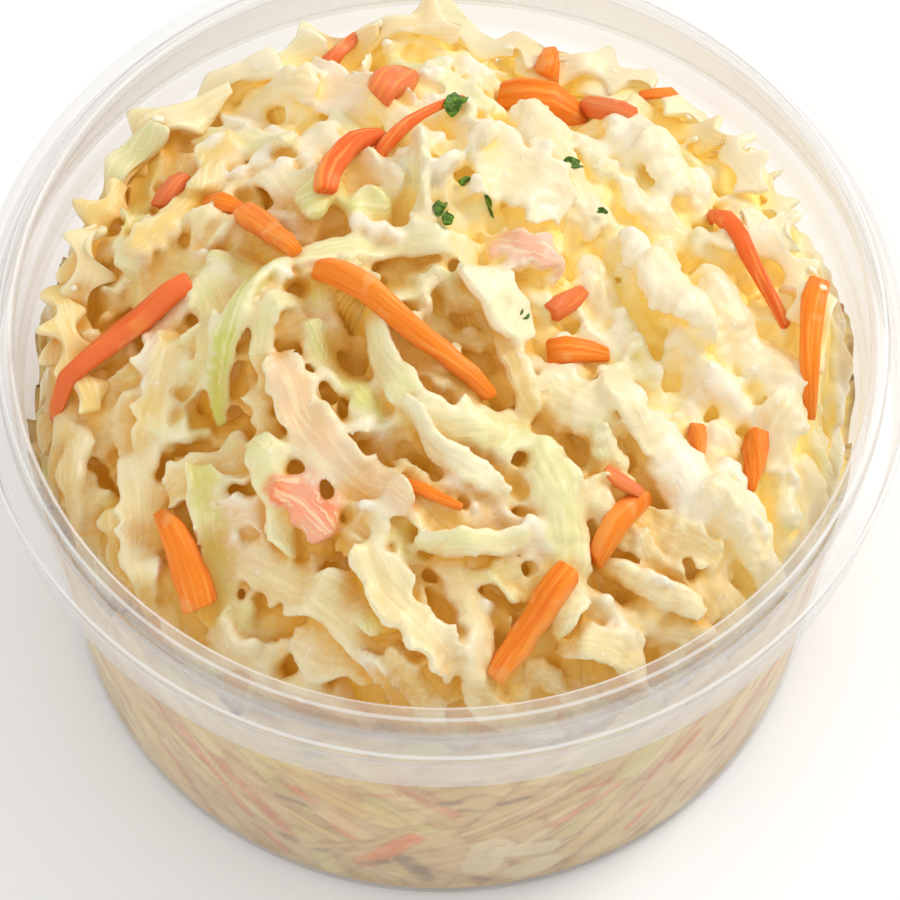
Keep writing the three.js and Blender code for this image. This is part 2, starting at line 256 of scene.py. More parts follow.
class Paint:
    """One material: a Principled shader and the nodes that feed it."""

    def __init__(self, name):
        self.material = bpy.data.materials.new(name)
        self.material.use_nodes = True
        self.tree = self.material.node_tree
        self.shader = self.tree.nodes["Principled BSDF"]
        self.place = self.add("TexCoord", output="Object")

    def add(self, kind, settings=None, inputs=None, output=0):
        """Adds a node of a kind, with its settings first, and returns one of its outputs."""
        node = self.tree.nodes.new("ShaderNode" + kind)
        for name, setting in (settings or {}).items():
            setattr(node, name, setting)
        for name, value in (inputs or {}).items():
            self.feed(node.inputs[name], value)
        return Value(self, node.outputs[output])

    def feed(self, socket, value):
        if isinstance(value, Value):
            self.tree.links.new(value.socket, socket)
        else:
            socket.default_value = tuple(value) if isinstance(value, np.ndarray) else value

    def noise(self, vector, scale, detail=2.0):
        """Soft random blotches, from 0 to 1. The scale is in blotches to the unit of the vector."""
        return self.add("TexNoise", inputs={"Vector": vector, "Scale": scale, "Detail": detail})

    def stretched(self, vector, factors):
        return self.add("VectorMath", {"operation": "MULTIPLY"}, {0: vector, 1: factors})

    def between(self, value, low, high):
        """How far a value has got from low to high, from 0 to 1, with soft ends."""
        settings = {"interpolation_type": "SMOOTHSTEP"}
        return self.add("MapRange", settings, {"Value": value, "From Min": low, "From Max": high})

    def line(self, value, centre, half_width):
        """A soft line, 1 where a value is at its centre and 0 beyond its half width."""
        gap = value - centre
        return self.between(gap * gap, half_width**2, 0.15 * half_width**2)

    def mix(self, share, first, second):
        settings = {"data_type": "RGBA"}
        return self.add("Mix", settings, {0: share, 6: first, 7: second}, output=2)

    def rightness(self):
        """From 0 at the heap's near left to 1 at its far right, where the dressing is thick."""
        across = self.add("VectorMath", {"operation": "DOT_PRODUCT"}, {0: self.place, 1: (1, 1, 0)}, "Value")
        return self.between(across, -12 * MM, 18 * MM)

    def painted_gap_shade(self):
        """The painted shade colour deep between the pieces, which also tints their painted glow."""
        return self.mix(self.rightness(), OCHRE, AMBER)

    def attribute(self, name, output):
        return self.add("Attribute", {"attribute_name": name}, output=output)

    def bump(self, height, strength, distance):
        inputs = {"Height": height, "Strength": strength, "Distance": distance * MM}
        return self.add("Bump", inputs=inputs)

    def finish(self, **sockets):
        for name, value in sockets.items():
            self.feed(self.shader.inputs[name.replace("_", " ")], value)
        return self.material


def dressed_material():
    """Cut cabbage in creamy dressing: fibres along each piece, thick and thin dressing over it."""
    paint = Paint("dressed_cabbage")
    tint = paint.attribute("tint", "Color")
    hollow = paint.attribute("hollow", "Fac")
    lie = paint.attribute("lie", "Vector")
    clear = paint.attribute("clear", "Fac")
    fibres = (paint.noise(paint.stretched(lie, (0.16, 1.5, 1.0)), 1.0) - 0.5) * clear + 0.5
    clouds = paint.noise(paint.place, 170.0)
    thick = paint.between(clouds, 0.42, 0.66)
    # White specks: small beads of dressing, partly real and partly painted glints
    beads = paint.between(paint.noise(paint.place, 620.0, 1.0), 0.68, 0.74)
    colour = paint.mix(paint.between(fibres, 0.5, 0.62) * 0.5, tint, seen(250, 236, 184))
    colour = paint.mix(paint.between(fibres, 0.46, 0.32) * 0.3, colour, seen(226, 198, 118))
    right = paint.rightness()
    colour = paint.mix(thick * 0.25 + beads * 0.35 + right * 0.4, colour, WHITE)
    # Painted shade: where the heap hides the sky from a point, its colour goes over to the gap shade colour
    deep = paint.between(hollow, right * 0.1 + 0.2, right * 0.1 + 0.8)
    colour = paint.mix(deep * 0.85, colour, paint.painted_gap_shade())
    relief = fibres * (0.55 - right * 0.4) + clouds * 0.5 + beads * 0.25
    return paint.finish(
        Base_Color=colour,
        Roughness=0.49 - thick * 0.12,
        Normal=paint.bump(relief, 0.6, 0.5),
        Specular_IOR_Level=0.35,
        Coat_Weight=0.25 - paint.between(hollow, 0.15, 0.7) * 0.25,
        Coat_Roughness=0.18,
        # Painted glow: the gaps give off a little light of the gap shade colour
        Emission_Color=paint.mix(paint.between(hollow, 0.25, 0.9), (0, 0, 0, 1), paint.painted_gap_shade()),
        Emission_Strength=GAP_GLOW,
        Subsurface_Weight=0.15,
        Subsurface_Radius=(1.0, 0.8, 0.45),
        Subsurface_Scale=1.6 * MM,
    )


def carrot_material():
    """Raw carrot: fine fibres, a moist skin, and a film of dressing in patches."""
    paint = Paint("moist_carrot")
    tint = paint.attribute("tint", "Color")
    hollow = paint.attribute("hollow", "Fac")
    lie = paint.attribute("lie", "Vector")
    fibres = paint.noise(paint.stretched(lie, (0.12, 1.7, 1.0)), 1.0, 3.0)
    hairs = paint.noise(paint.stretched(lie, (0.3, 6.0, 1.0)), 1.0, 2.0)
    smears = paint.noise(paint.place, 260.0)
    film = paint.between(smears, 0.6, 0.7)
    colour = paint.mix(paint.between(fibres, 0.5, 0.64) * 0.5, tint, seen(255, 176, 84))
    colour = paint.mix(paint.between(fibres, 0.46, 0.34) * 0.4, colour, seen(230, 92, 14))
    colour = paint.mix(film * 0.3, colour, seen(252, 196, 130))
    # Painted shade: darker orange where the heap hides the sky from the carrot
    colour = paint.mix(hollow * 0.6, colour, seen(190, 84, 24))
    return paint.finish(
        Base_Color=colour,
        Roughness=0.3 + hairs * 0.25,
        Normal=paint.bump(fibres * 0.5 + hairs * 0.3 + smears * 0.2, 0.6, 0.3),
        Specular_IOR_Level=0.16,
        Coat_Weight=0.08,
        Coat_Roughness=0.12,
    )


def herb_material():
    """A small dark leaf, lighter between its veins, and moist."""
    paint = Paint("moist_herb")
    tint = paint.attribute("tint", "Color")
    veins = paint.noise(paint.place, 1800.0, 3.0)
    colour = paint.mix(paint.between(veins, 0.4, 0.65), tint, seen(100, 142, 34))
    return paint.finish(
        Base_Color=colour,
        Roughness=0.36 + veins * 0.2,
        Normal=paint.bump(veins, 0.6, 0.2),
        Specular_IOR_Level=0.25,
        Coat_Weight=0.08,
        Coat_Roughness=0.2,
    )


def bed_material():
    """Dressing and fine shreds between the pieces, and what is pressed to the tub's wall."""
    paint = Paint("dressed_bed")
    tint = paint.attribute("tint", "Color")
    hollow = paint.attribute("hollow", "Fac")
    clouds = paint.noise(paint.place, 240.0, 3.0)
    colour = paint.mix(paint.between(clouds, 0.35, 0.7) * 0.3, tint, CREAM)
    # Painted shade: the bed takes the gap shade colour where it is hollow
    colour = paint.mix(paint.between(hollow, 0.2, 0.8) * 0.9, colour, paint.painted_gap_shade())
    return paint.finish(
        Base_Color=colour,
        Roughness=0.36 + clouds * 0.2,
        Normal=paint.bump(clouds, 0.5, 0.5),
        Coat_Weight=0.2,
        Coat_Roughness=0.2,
        # Painted glow: the bed's gaps give off a little light of the gap shade colour
        Emission_Color=paint.mix(paint.between(hollow, 0.4, 1.0), (0, 0, 0, 1), paint.painted_gap_shade()),
        Emission_Strength=GAP_GLOW,
    )


def plastic_material():
    """Thin moulded polypropylene: milky, clearer where it is looked through square on."""
    paint = Paint("milky_plastic")
    facing = paint.add("LayerWeight", inputs={"Blend": 0.5}, output="Facing")
    height = paint.add("SeparateXYZ", inputs={"Vector": paint.place}, output="Z") * (1 / MM)
    flat = paint.stretched(paint.place, (1 / MM, 1 / MM, 0.0))
    radius = paint.add("VectorMath", {"operation": "LENGTH"}, {0: flat}, output="Value")
    rim = paint.between(height, TUB_HEIGHT - SKIRT_DROP - 0.5, TUB_HEIGHT - SKIRT_DROP + 0.5)
    lip = paint.between(height, TUB_HEIGHT - 0.9, TUB_HEIGHT - 0.6)
    outer = paint.between(radius, SKIRT_RADIUS - SKIRT_WALL + 0.2, SKIRT_RADIUS - 0.2)
    # Painted highlights: bright lines along the rounded edges of the lip, flange and skirt, partly the
    # whiter look of the thicker plastic there
    bright = (
        paint.line(radius, LIP_INNER_RADIUS + 0.35, LINE_WIDTH) * lip
        + paint.line(radius, LIP_OUTER_RADIUS - 0.25, LINE_WIDTH) * lip
        + paint.line(height, TUB_HEIGHT - FLANGE_DROP - 0.35, LINE_WIDTH) * outer
        + paint.line(height, TUB_HEIGHT - SKIRT_DROP + 0.4, LINE_WIDTH) * outer * 0.8
    )
    # Painted shade: dark lines under the bead, round the foot of the lip and along the base where the tub
    # stands on the floor
    dark = (
        paint.line(height, TUB_HEIGHT - FLANGE_DROP - BEAD_HEIGHT - 0.7, LINE_WIDTH * 2) * outer * 0.6
        + paint.line(radius, LIP_OUTER_RADIUS + 0.3, LINE_WIDTH) * 0.6
        + paint.line(height, 0.5, 0.9)
    )
    colour = paint.mix(dark, seen(233, 232, 230), seen(158, 142, 120))
    colour = paint.mix(bright, colour, seen(250, 249, 246))
    return paint.finish(
        Base_Color=colour,
        Roughness=0.22,
        Alpha=0.05 + rim * 0.11 + (facing**3.0) * (rim * 0.12 + 0.28) + bright * 0.4 + dark * 0.25,
        IOR=1.5,
        Specular_IOR_Level=0.5,
        Coat_Weight=0.4,
        Coat_Roughness=0.06,
    )


# ---- mesh helpers


def put_in_scene(name, mesh, material):
    """A finished piece: it rides on the part's one body and takes the material it is given."""
    piece = bpy.data.objects.new(name, mesh)
    bpy.context.collection.objects.link(piece)
    mesh.materials.append(material)
    mesh.shade_smooth()
    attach(piece, "root")
    return piece


def subdivide(piece):
    smooth = piece.modifiers.new("smooth", "SUBSURF")
    smooth.levels = 1
    smooth.render_levels = 1


def set_attribute(mesh, name, kind, field, values):
    layer = mesh.attributes.new(name, kind, "POINT")
    layer.data.foreach_set(field, np.ascontiguousarray(values, np.float32).ravel())


def turned_mesh(name, profile, steps):
    """A closed profile of (radius, height) pairs, spun about the Z axis."""
    bm = bmesh.new()
    points = [bm.verts.new((radius, 0.0, height)) for radius, height in profile]
    edges = [bm.edges.new(pair) for pair in zip(points, points[1:])]
    bmesh.ops.spin(
        bm,
        geom=points + edges,
        cent=(0, 0, 0),
        axis=(0, 0, 1),
        angle=2 * math.pi,
        steps=steps,
        use_merge=True,
    )
    bmesh.ops.remove_doubles(bm, verts=bm.verts, dist=0.001 * MM)
    bmesh.ops.recalc_face_normals(bm, faces=bm.faces)
    mesh = bpy.data.meshes.new(name)
    bm.to_mesh(mesh)
    bm.free()
    return mesh


def points_of(mesh):
    flat = np.empty(len(mesh.vertices) * 3)
    mesh.vertices.foreach_get("co", flat)
    return flat.reshape(-1, 3)


def normals_of(mesh):
    flat = np.empty(len(mesh.vertices) * 3, np.float32)
    mesh.vertex_normals.foreach_get("vector", flat)
    return flat.reshape(-1, 3)


def set_points(mesh, points):
    mesh.vertices.foreach_set("co", np.ascontiguousarray(points, np.float32).ravel())
    mesh.update()


# ---- the tub


def corner_arc(centre_radius, centre_height, size, steps=6):
    angles = np.linspace(0, math.pi / 2, steps + 1)
    return [(centre_radius + size * math.sin(a), centre_height - size * math.cos(a)) for a in angles]


def body_radius(height):
    """The tub's outside below the skirt. It widens evenly from the base."""
    skirt_foot = TUB_HEIGHT - SKIRT_DROP
    share = np.clip((height - BASE_CORNER) / (skirt_foot - BASE_CORNER), 0, 1)
    return BASE_RADIUS + share * (SHOULDER_RADIUS - SHOULDER_STEP - BASE_RADIUS)


def tub_profile():
    top = TUB_HEIGHT
    shoulder = top - SHOULDER_DROP
    skirt_foot = top - SKIRT_DROP
    hollow_top = top - SKIRT_HOLLOW_TOP
    flange = top - FLANGE_DROP
    bead_foot = flange - BEAD_HEIGHT
    skirt_inner = SKIRT_RADIUS - SKIRT_WALL
    corner_centre = BASE_RADIUS - BASE_CORNER
    outside = [
        (0, 0),
        *corner_arc(corner_centre, BASE_CORNER, BASE_CORNER),
        (body_radius(skirt_foot), skirt_foot),
        (SHOULDER_RADIUS, shoulder),
        (LIP_OUTER_RADIUS, shoulder + WALL),
        (LIP_OUTER_RADIUS, hollow_top),
        (skirt_inner, hollow_top - EASE),
        (skirt_inner, skirt_foot + EASE),
        (skirt_inner + EASE, skirt_foot),
        (SKIRT_RADIUS, skirt_foot + EASE),
        (SKIRT_RADIUS, bead_foot - SKIRT_WALL),
        (RIM_RADIUS - EASE, bead_foot),
        (RIM_RADIUS, flange - FLANGE_ROUND),
        (RIM_RADIUS - FLANGE_ROUND, flange),
        (LIP_OUTER_RADIUS + EASE, flange + FLANGE_ROUND),
        (LIP_OUTER_RADIUS, top - LIP_ROUND),
        (LIP_OUTER_RADIUS - LIP_ROUND, top),
    ]
    inside = [
        (LIP_INNER_RADIUS + LIP_ROUND, top),
        (LIP_INNER_RADIUS, top - LIP_ROUND),
        (LIP_INNER_RADIUS, top - LIP_FOOT_DEPTH),
        (GROOVE_RADIUS, top - LIP_DEPTH),
        (GROOVE_RADIUS, shoulder + EASE),
        (SHOULDER_RADIUS - WALL, shoulder),
        (body_radius(skirt_foot) - WALL, skirt_foot),
        *reversed(corner_arc(corner_centre, BASE_CORNER, BASE_CORNER - WALL)),
        (0, WALL),
    ]
    return outside + inside


def make_tub():
    profile = [(radius * MM, height * MM) for radius, height in tub_profile()]
    mesh = turned_mesh("tub_shell", profile, TUB_STEPS)
    tub = put_in_scene("tub_shell", mesh, plastic_material())
    ease = tub.modifiers.new("eased_edges", "BEVEL")
    ease.width = TUB_EASE * MM
    ease.segments = 2
    ease.limit_method = "ANGLE"
    ease.angle_limit = TUB_EASE_FROM
    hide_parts("tub")


# ---- the heap's outline


def edge_height(angle):
    """Where the heap meets the wall: lower at the back, with a dip where less was heaped."""
    from_dip = np.arctan2(np.sin(angle - HEAP_DIP_PLACE), np.cos(angle - HEAP_DIP_PLACE))
    dip = HEAP_DIP * np.exp(-((from_dip / HEAP_DIP_WIDTH) ** 2))
    return HEAP_EDGE_HEIGHT - HEAP_EDGE_TILT * np.sin(angle) - dip


def finished_height(x, y):
    """The height of the whole heap: full in the middle, and falling faster towards the wall."""
    share = np.minimum(1, np.hypot(x, y) / HEAP_RADIUS)
    edge = edge_height(np.arctan2(y, x))
    return edge + (HEAP_TOP - edge) * (1 - share**HEAP_FULLNESS)


def loose_height(x, y):
    """How far the loose pieces fill the heap: what lies on top brings it to its full height."""
    return finished_height(x, y) - LOOSE_BELOW - LOOSE_BELOW_AT_EDGE * (np.hypot(x, y) / HEAP_RADIUS) ** 2


def lump(x, y):
    """What the core stands higher or lower, in broad lumps."""
    turn = 2 * math.pi / CORE_LUMP_PITCH
    return CORE_LUMP * np.sin(x * turn + 0.7) * np.cos(y * turn + 0.06 * x + 0.7)


def wall_radius(height):
    return body_radius(height) - WALL


class Ground:
    """How high the heap stands at each cell of a square grid, while pieces are laid on it."""

    def __init__(self):
        self.reach = HEAP_RADIUS + 3
        self.count = math.ceil(2 * self.reach / GROUND_CELL) + 1
        line = np.arange(self.count) * GROUND_CELL - self.reach
        self.x, self.y = np.meshgrid(line, line)
        self.heights = finished_height(self.x, self.y) - CORE_DEPTH + lump(self.x, self.y)
        self.bed = None

    def cells(self, x, y):
        last = self.count - 1
        column = np.clip(np.rint((x + self.reach) / GROUND_CELL), 0, last).astype(int)
        row = np.clip(np.rint((y + self.reach) / GROUND_CELL), 0, last).astype(int)
        return row, column

    def at(self, x, y):
        return self.heights[self.cells(x, y)]

    def lift(self, x, y, z):
        np.maximum.at(self.heights, self.cells(x, y), z)

    def bed_height(self, x, y):
        """How high the dressed bed stands under the pieces."""
        if self.bed is None:
            self.bed = self.smoothed(BED_SMOOTHING) - BED_SINK
        return self.bed[self.cells(x, y)]

    def smoothed(self, reach):
        """The ground blurred over a reach in millimetres."""
        cells = np.arange(-math.ceil(2 * reach / GROUND_CELL), math.ceil(2 * reach / GROUND_CELL) + 1)
        weights = np.exp(-((cells * GROUND_CELL / reach) ** 2))
        weights /= weights.sum()
        half = len(cells) // 2
        field = np.pad(self.heights, half, mode="edge")
        field = np.apply_along_axis(np.convolve, 0, field, weights, "valid")
        return np.apply_along_axis(np.convolve, 1, field, weights, "valid")

    def hollow(self, points):
        """How much of the sky the heap hides from each point, from 0 to 1."""
        hidden = np.zeros(len(points))
        for way in np.linspace(0, 2 * math.pi, HOLLOW_WAYS, endpoint=False):
            steepest = np.zeros(len(points))
            for step in HOLLOW_STEPS:
                x = points[:, 0] + step * math.cos(way)
                y = points[:, 1] + step * math.sin(way)
                steepest = np.maximum(steepest, (self.at(x, y) - points[:, 2]) / step)
            hidden += np.sin(np.arctan(steepest))
        return hidden / HOLLOW_WAYS

    def lowest_place(self, tries, border, far_border, left_only=False):
        """Of some places picked at random, the one farthest below what the loose pieces fill."""
        angle = 2 * math.pi * random.random(tries)
        clear = np.where(np.sin(angle) < FRONT_BELOW, border, far_border)
        radius = (HEAP_RADIUS - clear) * np.sqrt(random.random(tries))
        x = radius * np.cos(angle)
        y = radius * np.sin(angle)
        want = np.zeros(tries)
        looks = ((0, 0), (LOOK, 0), (-LOOK, 0), (0, LOOK), (0, -LOOK))
        for right, back in looks:
            want += loose_height(x + right, y + back) - self.at(x + right, y + back)
        if left_only:
            want = np.where((x < CLOTS_FROM_X) | (y < COVER_FRONT_FROM_Y), want, want.min())
        best = int(np.argmax(want))
        return x[best], y[best], want[best] / len(looks)


# ---- one cut piece


@dataclass
class Cut:
    """A cut piece of vegetable: where it lies and how it is shaped. Angles are in degrees."""

    x: float
    y: float
    heading: float
    length: float
    width: float
    bend: float = 0.0
    thickness: float = 1.3
    sway: float = 0.0
    hump: float = 0.6
    wave: float = 0.0
    tilt: float = 0.0
    cup: float = 0.0
    twist: float = 0.0
    lobe_pitch: float = 2.7
    lobe_depth: float = 0.6
    spiky: bool = False
    ruffle: float = 0.5
    narrowing: float = 0.0
    end_taper: float = 0.45
    press: float = PRESS_IN
    sag: float = SAG
    passes: int = TIGHTENING_PASSES
    sink: float = 0.0
    paleness: float = EDGE_PALENESS
    tint: tuple = tuple(CREAM)


def slab(along, across):
    """A closed slab cut into a grid, with points from -1 to 1 each way, and its faces."""
    bm = bmesh.new()
    bmesh.ops.create_grid(bm, x_segments=along, y_segments=across, size=1.0)
    bmesh.ops.solidify(bm, geom=bm.faces[:], thickness=2.0)
    bmesh.ops.recalc_face_normals(bm, faces=bm.faces)
    bm.verts.index_update()
    points = np.array([vert.co for vert in bm.verts])
    faces = np.array([[vert.index for vert in face.verts] for face in bm.faces])
    bm.free()
    points -= (points.max(axis=0) + points.min(axis=0)) / 2
    return points / np.abs(points).max(axis=0), faces


def stick(along):
    """A closed square bar with eased edges, with points from -1 to 1 each way, and its faces."""
    bm = bmesh.new()
    bmesh.ops.create_cube(bm, size=2.0)
    bmesh.ops.scale(bm, vec=(BAR_STRETCH, 1.0, 1.0), verts=bm.verts)
    edges = bm.edges[:]
    bmesh.ops.bevel(bm, geom=edges, offset=BAR_EASE, segments=3, profile=0.5, material=-1, affect="EDGES")
    long_edges = [edge for edge in bm.edges if abs(edge.verts[0].co.x - edge.verts[1].co.x) > 1]
    bmesh.ops.subdivide_edges(bm, edges=long_edges, cuts=along, use_grid_fill=True)
    bmesh.ops.triangulate(bm, faces=[face for face in bm.faces if len(face.verts) > QUAD])
    bmesh.ops.recalc_face_normals(bm, faces=bm.faces)
    bm.verts.index_update()
    points = np.array([vert.co for vert in bm.verts])
    faces = [[vert.index for vert in face.verts] for face in bm.faces]
    bm.free()
    return points / np.abs(points).max(axis=0), faces


def lay_path(ground, cut):
    """The middle line of a piece: an arc on the flat, dropped on the ground and pulled tight."""
    steps = max(FEWEST_STEPS, round(cut.length / PATH_STEP))
    share = np.linspace(0, 1, steps + 1)
    bend = math.radians(cut.bend)
    sway = math.radians(cut.sway)
    turn = math.radians(cut.heading) + bend * (share - 0.5) + sway * np.sin(2 * math.pi * share)
    step = cut.length / steps
    x = np.cumsum(np.cos(turn)) * step
    y = np.cumsum(np.sin(turn)) * step
    x += cut.x - x[steps // 2]
    y += cut.y - y[steps // 2]
    reach = SUPPORTS * cut.width
    ground_x = x[:, None] - np.sin(turn)[:, None] * reach
    ground_y = y[:, None] + np.cos(turn)[:, None] * reach
    under = ground.at(ground_x, ground_y)
    slope = (under * reach).sum(axis=1) / (reach**2).sum()
    roll = np.clip(np.arctan(slope), -MOST_ROLL, MOST_ROLL)
    over = under - np.tan(roll)[:, None] * reach
    z = cut.press * over.mean(axis=1) + (1 - cut.press) * over.max(axis=1)
    z += cut.thickness * RESTING_SHARE - cut.sink
    z += cut.hump * np.sin(math.pi * share) ** 2
    for _ in range(cut.passes):
        z[1:-1] = np.maximum(z[1:-1], (z[:-2] + z[2:]) / 2 - cut.sag)
        roll[1:-1] = (roll[:-2] + 2 * roll[1:-1] + roll[2:]) / 4
    z += cut.wave * np.sin(2 * math.pi * share * cut.length / WAVE_LENGTH + cut.x)
    z += cut.width * TILT_LIFT * abs(math.sin(math.radians(cut.tilt)))
    roll = roll + math.radians(cut.tilt) + math.radians(cut.twist) * (share - 0.5)
    return {"share": share, "x": x, "y": y, "z": z, "turn": turn, "roll": roll}


def edge_wave(cut, share, side):
    """The lobes along a cut leaf's edge, from -1 to 1, a little uneven and not alike on both sides."""
    place = share * cut.length / cut.lobe_pitch
    wander = LOBE_WANDER * np.sin(place * LOBE_WANDER_RATE + cut.x)
    place = place + wander + LOBE_SIDE_SHIFT * np.sign(side) + cut.y
    rounded = 2 * np.abs(np.cos(math.pi * place)) ** LOBE_SHARPNESS - 1
    pointed = 1 - 2 * np.abs(np.sin(math.pi * place)) ** LOBE_SHARPNESS
    uneven = (1 + LOBE_LEAST) / 2 + (1 - LOBE_LEAST) / 2 * np.sin(place * LOBE_UNEVEN_RATE + cut.heading)
    return (pointed if cut.spiky else rounded) * uneven


def follow_path(points, path):
    """Where a flat slab's points lie on a piece's path, and which way along, sideways and outwards are."""
    share = (points[:, 0] + 1) / 2

    def here(values):
        return np.interp(share, path["share"], values)

    turn = here(path["turn"])
    roll = here(path["roll"])
    place = np.stack([here(path[name]) for name in ("x", "y", "z")], axis=1)
    along = np.stack([here(np.gradient(path[name])) for name in ("x", "y", "z")], axis=1)
    along /= np.linalg.norm(along, axis=1, keepdims=True)
    sideways = np.stack([-np.sin(turn) * np.cos(roll), np.cos(turn) * np.cos(roll), np.sin(roll)], axis=1)
    outwards = np.cross(along, sideways)
    outwards /= np.linalg.norm(outwards, axis=1, keepdims=True)
    return place, along, sideways, outwards


def bend_slab(points, cut, path):
    """Carries a flat slab's points onto a piece's path, with its lobes, ruffles and cupping."""
    share = (points[:, 0] + 1) / 2
    side = points[:, 1]
    face = points[:, 2]
    place, _, sideways, outwards = follow_path(points, path)
    wave = edge_wave(cut, share, side)
    ends = 1 - cut.end_taper * np.abs(2 * share - 1) ** END_SHARPNESS
    narrow = ends * (1 - cut.narrowing * share)
    lobes = cut.lobe_depth * wave * np.abs(side) ** LOBE_FADE * ends
    reach = side * (cut.width / 2 * narrow + lobes)
    turns = math.pi * share * cut.length / cut.lobe_pitch + np.sign(side) + cut.x
    ruffle = cut.ruffle * side * np.abs(side) * np.sin(turns)
    cup = cut.cup * (side**2 - CUP_MIDDLE)
    thin = (1 - EDGE_THINNING * side**2) * (1 - END_THINNING + END_THINNING * narrow)
    off = face * cut.thickness / 2 * thin + ruffle + cup
    return place + sideways * reach[:, None] + outwards * off[:, None]


def keep_in_tub(points):
    """Crowds what would cross the wall against the wall's inside, thinner and thinner."""
    radius = np.hypot(points[:, 0], points[:, 1])
    start = wall_radius(points[:, 2]) - WALL_CLEARANCE - WALL_CROWDING
    over = np.maximum(0, radius - start)
    held = start + WALL_CROWDING * (1 - np.exp(-over / WALL_CROWDING))
    ratio = np.where((over > 0) & (points[:, 2] < TUB_HEIGHT), held / np.maximum(radius, 1), 1)
    points[:, 0] *= ratio
    points[:, 1] *= ratio
    return points


def raise_ground(ground, cut, path):
    """Raises the ground to the top of a piece that has been laid."""
    across = np.linspace(-1, 1, FOOTPRINT_ROWS)
    along = np.linspace(0, 1, 2 * len(path["share"])) * 2 - 1
    count = len(along) * len(across)
    grid = [np.repeat(along, len(across)), np.tile(across, len(along)), np.ones(count)]
    top = bend_slab(np.stack(grid, axis=1), cut, path)
    ground.lift(top[:, 0], top[:, 1], top[:, 2])


class Kind:
    """All the pieces of one kind, gathered to become one mesh."""

    def __init__(self, name, template):
        self.name = name
        self.template = template
        self.laid = []

    def lay(self, ground, cut):
        path = lay_path(ground, cut)
        raise_ground(ground, cut, path)
        self.laid.append((cut, path))

    def gather(self, ground):
        """Every piece that still shows: its faces, and what each of its points carries."""
        faces = []
        carried = {"points": [], "tints": [], "lies": [], "ways": []}
        count = 0
        for number, (cut, path) in enumerate(self.laid):
            flat, own_faces = self.template(cut)
            bent = keep_in_tub(bend_slab(flat, cut, path))
            bed = ground.bed_height(bent[:, 0], bent[:, 1])
            if np.mean(bent[:, 2] > bed - UNDER_BED) < SHOWN_SHARE:
                continue
            # Painted highlight: each piece pales towards its edges
            edge = np.abs(flat[:, 1:2]) ** EDGE_SHARPNESS * cut.paleness
            size = np.array([cut.length, cut.width]) / 2
            faces.extend([[index + count for index in face] for face in own_faces])
            carried["points"].append(bent)
            carried["tints"].append(np.array(cut.tint) * (1 - edge) + EDGE_HIGHLIGHT * edge)
            own_number = np.full(len(flat), PIECE_SPACING * number)
            carried["lies"].append(np.column_stack([flat[:, :2] * size, own_number]))
            carried["ways"].append(np.stack(follow_path(flat, path)[1:3], axis=1))
            count += len(bent)
        return faces, {name: np.concatenate(parts) for name, parts in carried.items()}


def pressed_share(points):
    """How far a piece lies against the wall, where it is seen through it, from 0 to 1."""
    at_wall = np.clip(np.hypot(points[:, 0], points[:, 1]) - PRESSED_FROM_RADIUS, 0, 1)
    return at_wall * np.clip((PRESSED_BELOW - points[:, 2]) / PRESSED_FADE, 0, 1)


def clear_of_borders(corners, whose):
    """1 well inside one piece and 0 on the faces where two pieces meet, soft between."""
    clear = np.ones(len(whose))
    mixed = (whose[corners] != whose[corners[:, :1]]).any(axis=1)
    clear[corners[mixed]] = 0
    beside = clear[corners].min(axis=1)
    np.minimum.at(clear, corners, 0.5 + 0.5 * beside[:, None])
    return clear


def coloured_piece(name, mesh, ground, tints, lies, clear, material, slot):
    """A piece whose points carry what its material reads."""
    points = points_of(mesh) / MM
    # Painted shade: what lies against the wall is darkened by the wall's shade, and takes no painted gap
    # shade
    pressed = pressed_share(points)
    tints = tints * (1 - pressed[:, None] * (1 - WALL_SHADE))
    set_attribute(mesh, "tint", "FLOAT_COLOR", "color", tints)
    set_attribute(mesh, "hollow", "FLOAT", "value", ground.hollow(points) * (1 - pressed))
    set_attribute(mesh, "lie", "FLOAT_VECTOR", "vector", lies)
    set_attribute(mesh, "clear", "FLOAT", "value", clear)
    piece = put_in_scene(name, mesh, material)
    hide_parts("coleslaw")
    return piece


def crisp_piece(kind, ground, material, slot):
    """The pieces of a kind as they were cut."""
    faces, carried = kind.gather(ground)
    mesh = bpy.data.meshes.new(kind.name)
    mesh.from_pydata(carried["points"] * MM, [], faces)
    looks = (carried["tints"], carried["lies"], np.ones(len(carried["points"])))
    return coloured_piece(kind.name, mesh, ground, *looks, material, slot)


def billows(points):
    """Soft round bumps with creases between them, from 0 to 1, one to the unit or so."""
    heights = np.array([noise(point) for point in points])
    return np.sqrt(heights**2 + CURD_CREASE**2)


def curdle(mesh):
    """Thick dressing at the heap's right stands up in small curds."""
    points = points_of(mesh) / MM
    share = np.clip((points[:, 0] - CURDS_FROM) / (CURDS_TO - CURDS_FROM), 0, 1)
    thick = share * CURD_HEIGHT + (1 - share) * SMOOTH_HEIGHT
    raised = thick * (billows(points / CURD_PITCH) - CURD_MIDDLE)
    normals = normals_of(mesh)
    set_points(mesh, (points + normals * raised[:, None]) * MM)


def joined_by_dressing(points, faces):
    """One skin over all the pieces, joined wherever they touch, rounded and a little lumpy."""
    raw = bpy.data.meshes.new("raw_cabbage")
    raw.from_pydata(points * MM, [], faces)
    draft = bpy.data.objects.new("raw_cabbage", raw)
    bpy.context.collection.objects.link(draft)
    joined = draft.modifiers.new("joined", "REMESH")
    joined.mode = "VOXEL"
    joined.voxel_size = FUSE_CELL * MM
    rounded = draft.modifiers.new("rounded", "SMOOTH")
    rounded.iterations = FUSE_SMOOTHING
    rounded.factor = 0.5
    solid = draft.evaluated_get(bpy.context.evaluated_depsgraph_get())
    mesh = bpy.data.meshes.new_from_object(solid)
    bpy.data.objects.remove(draft)
    return mesh


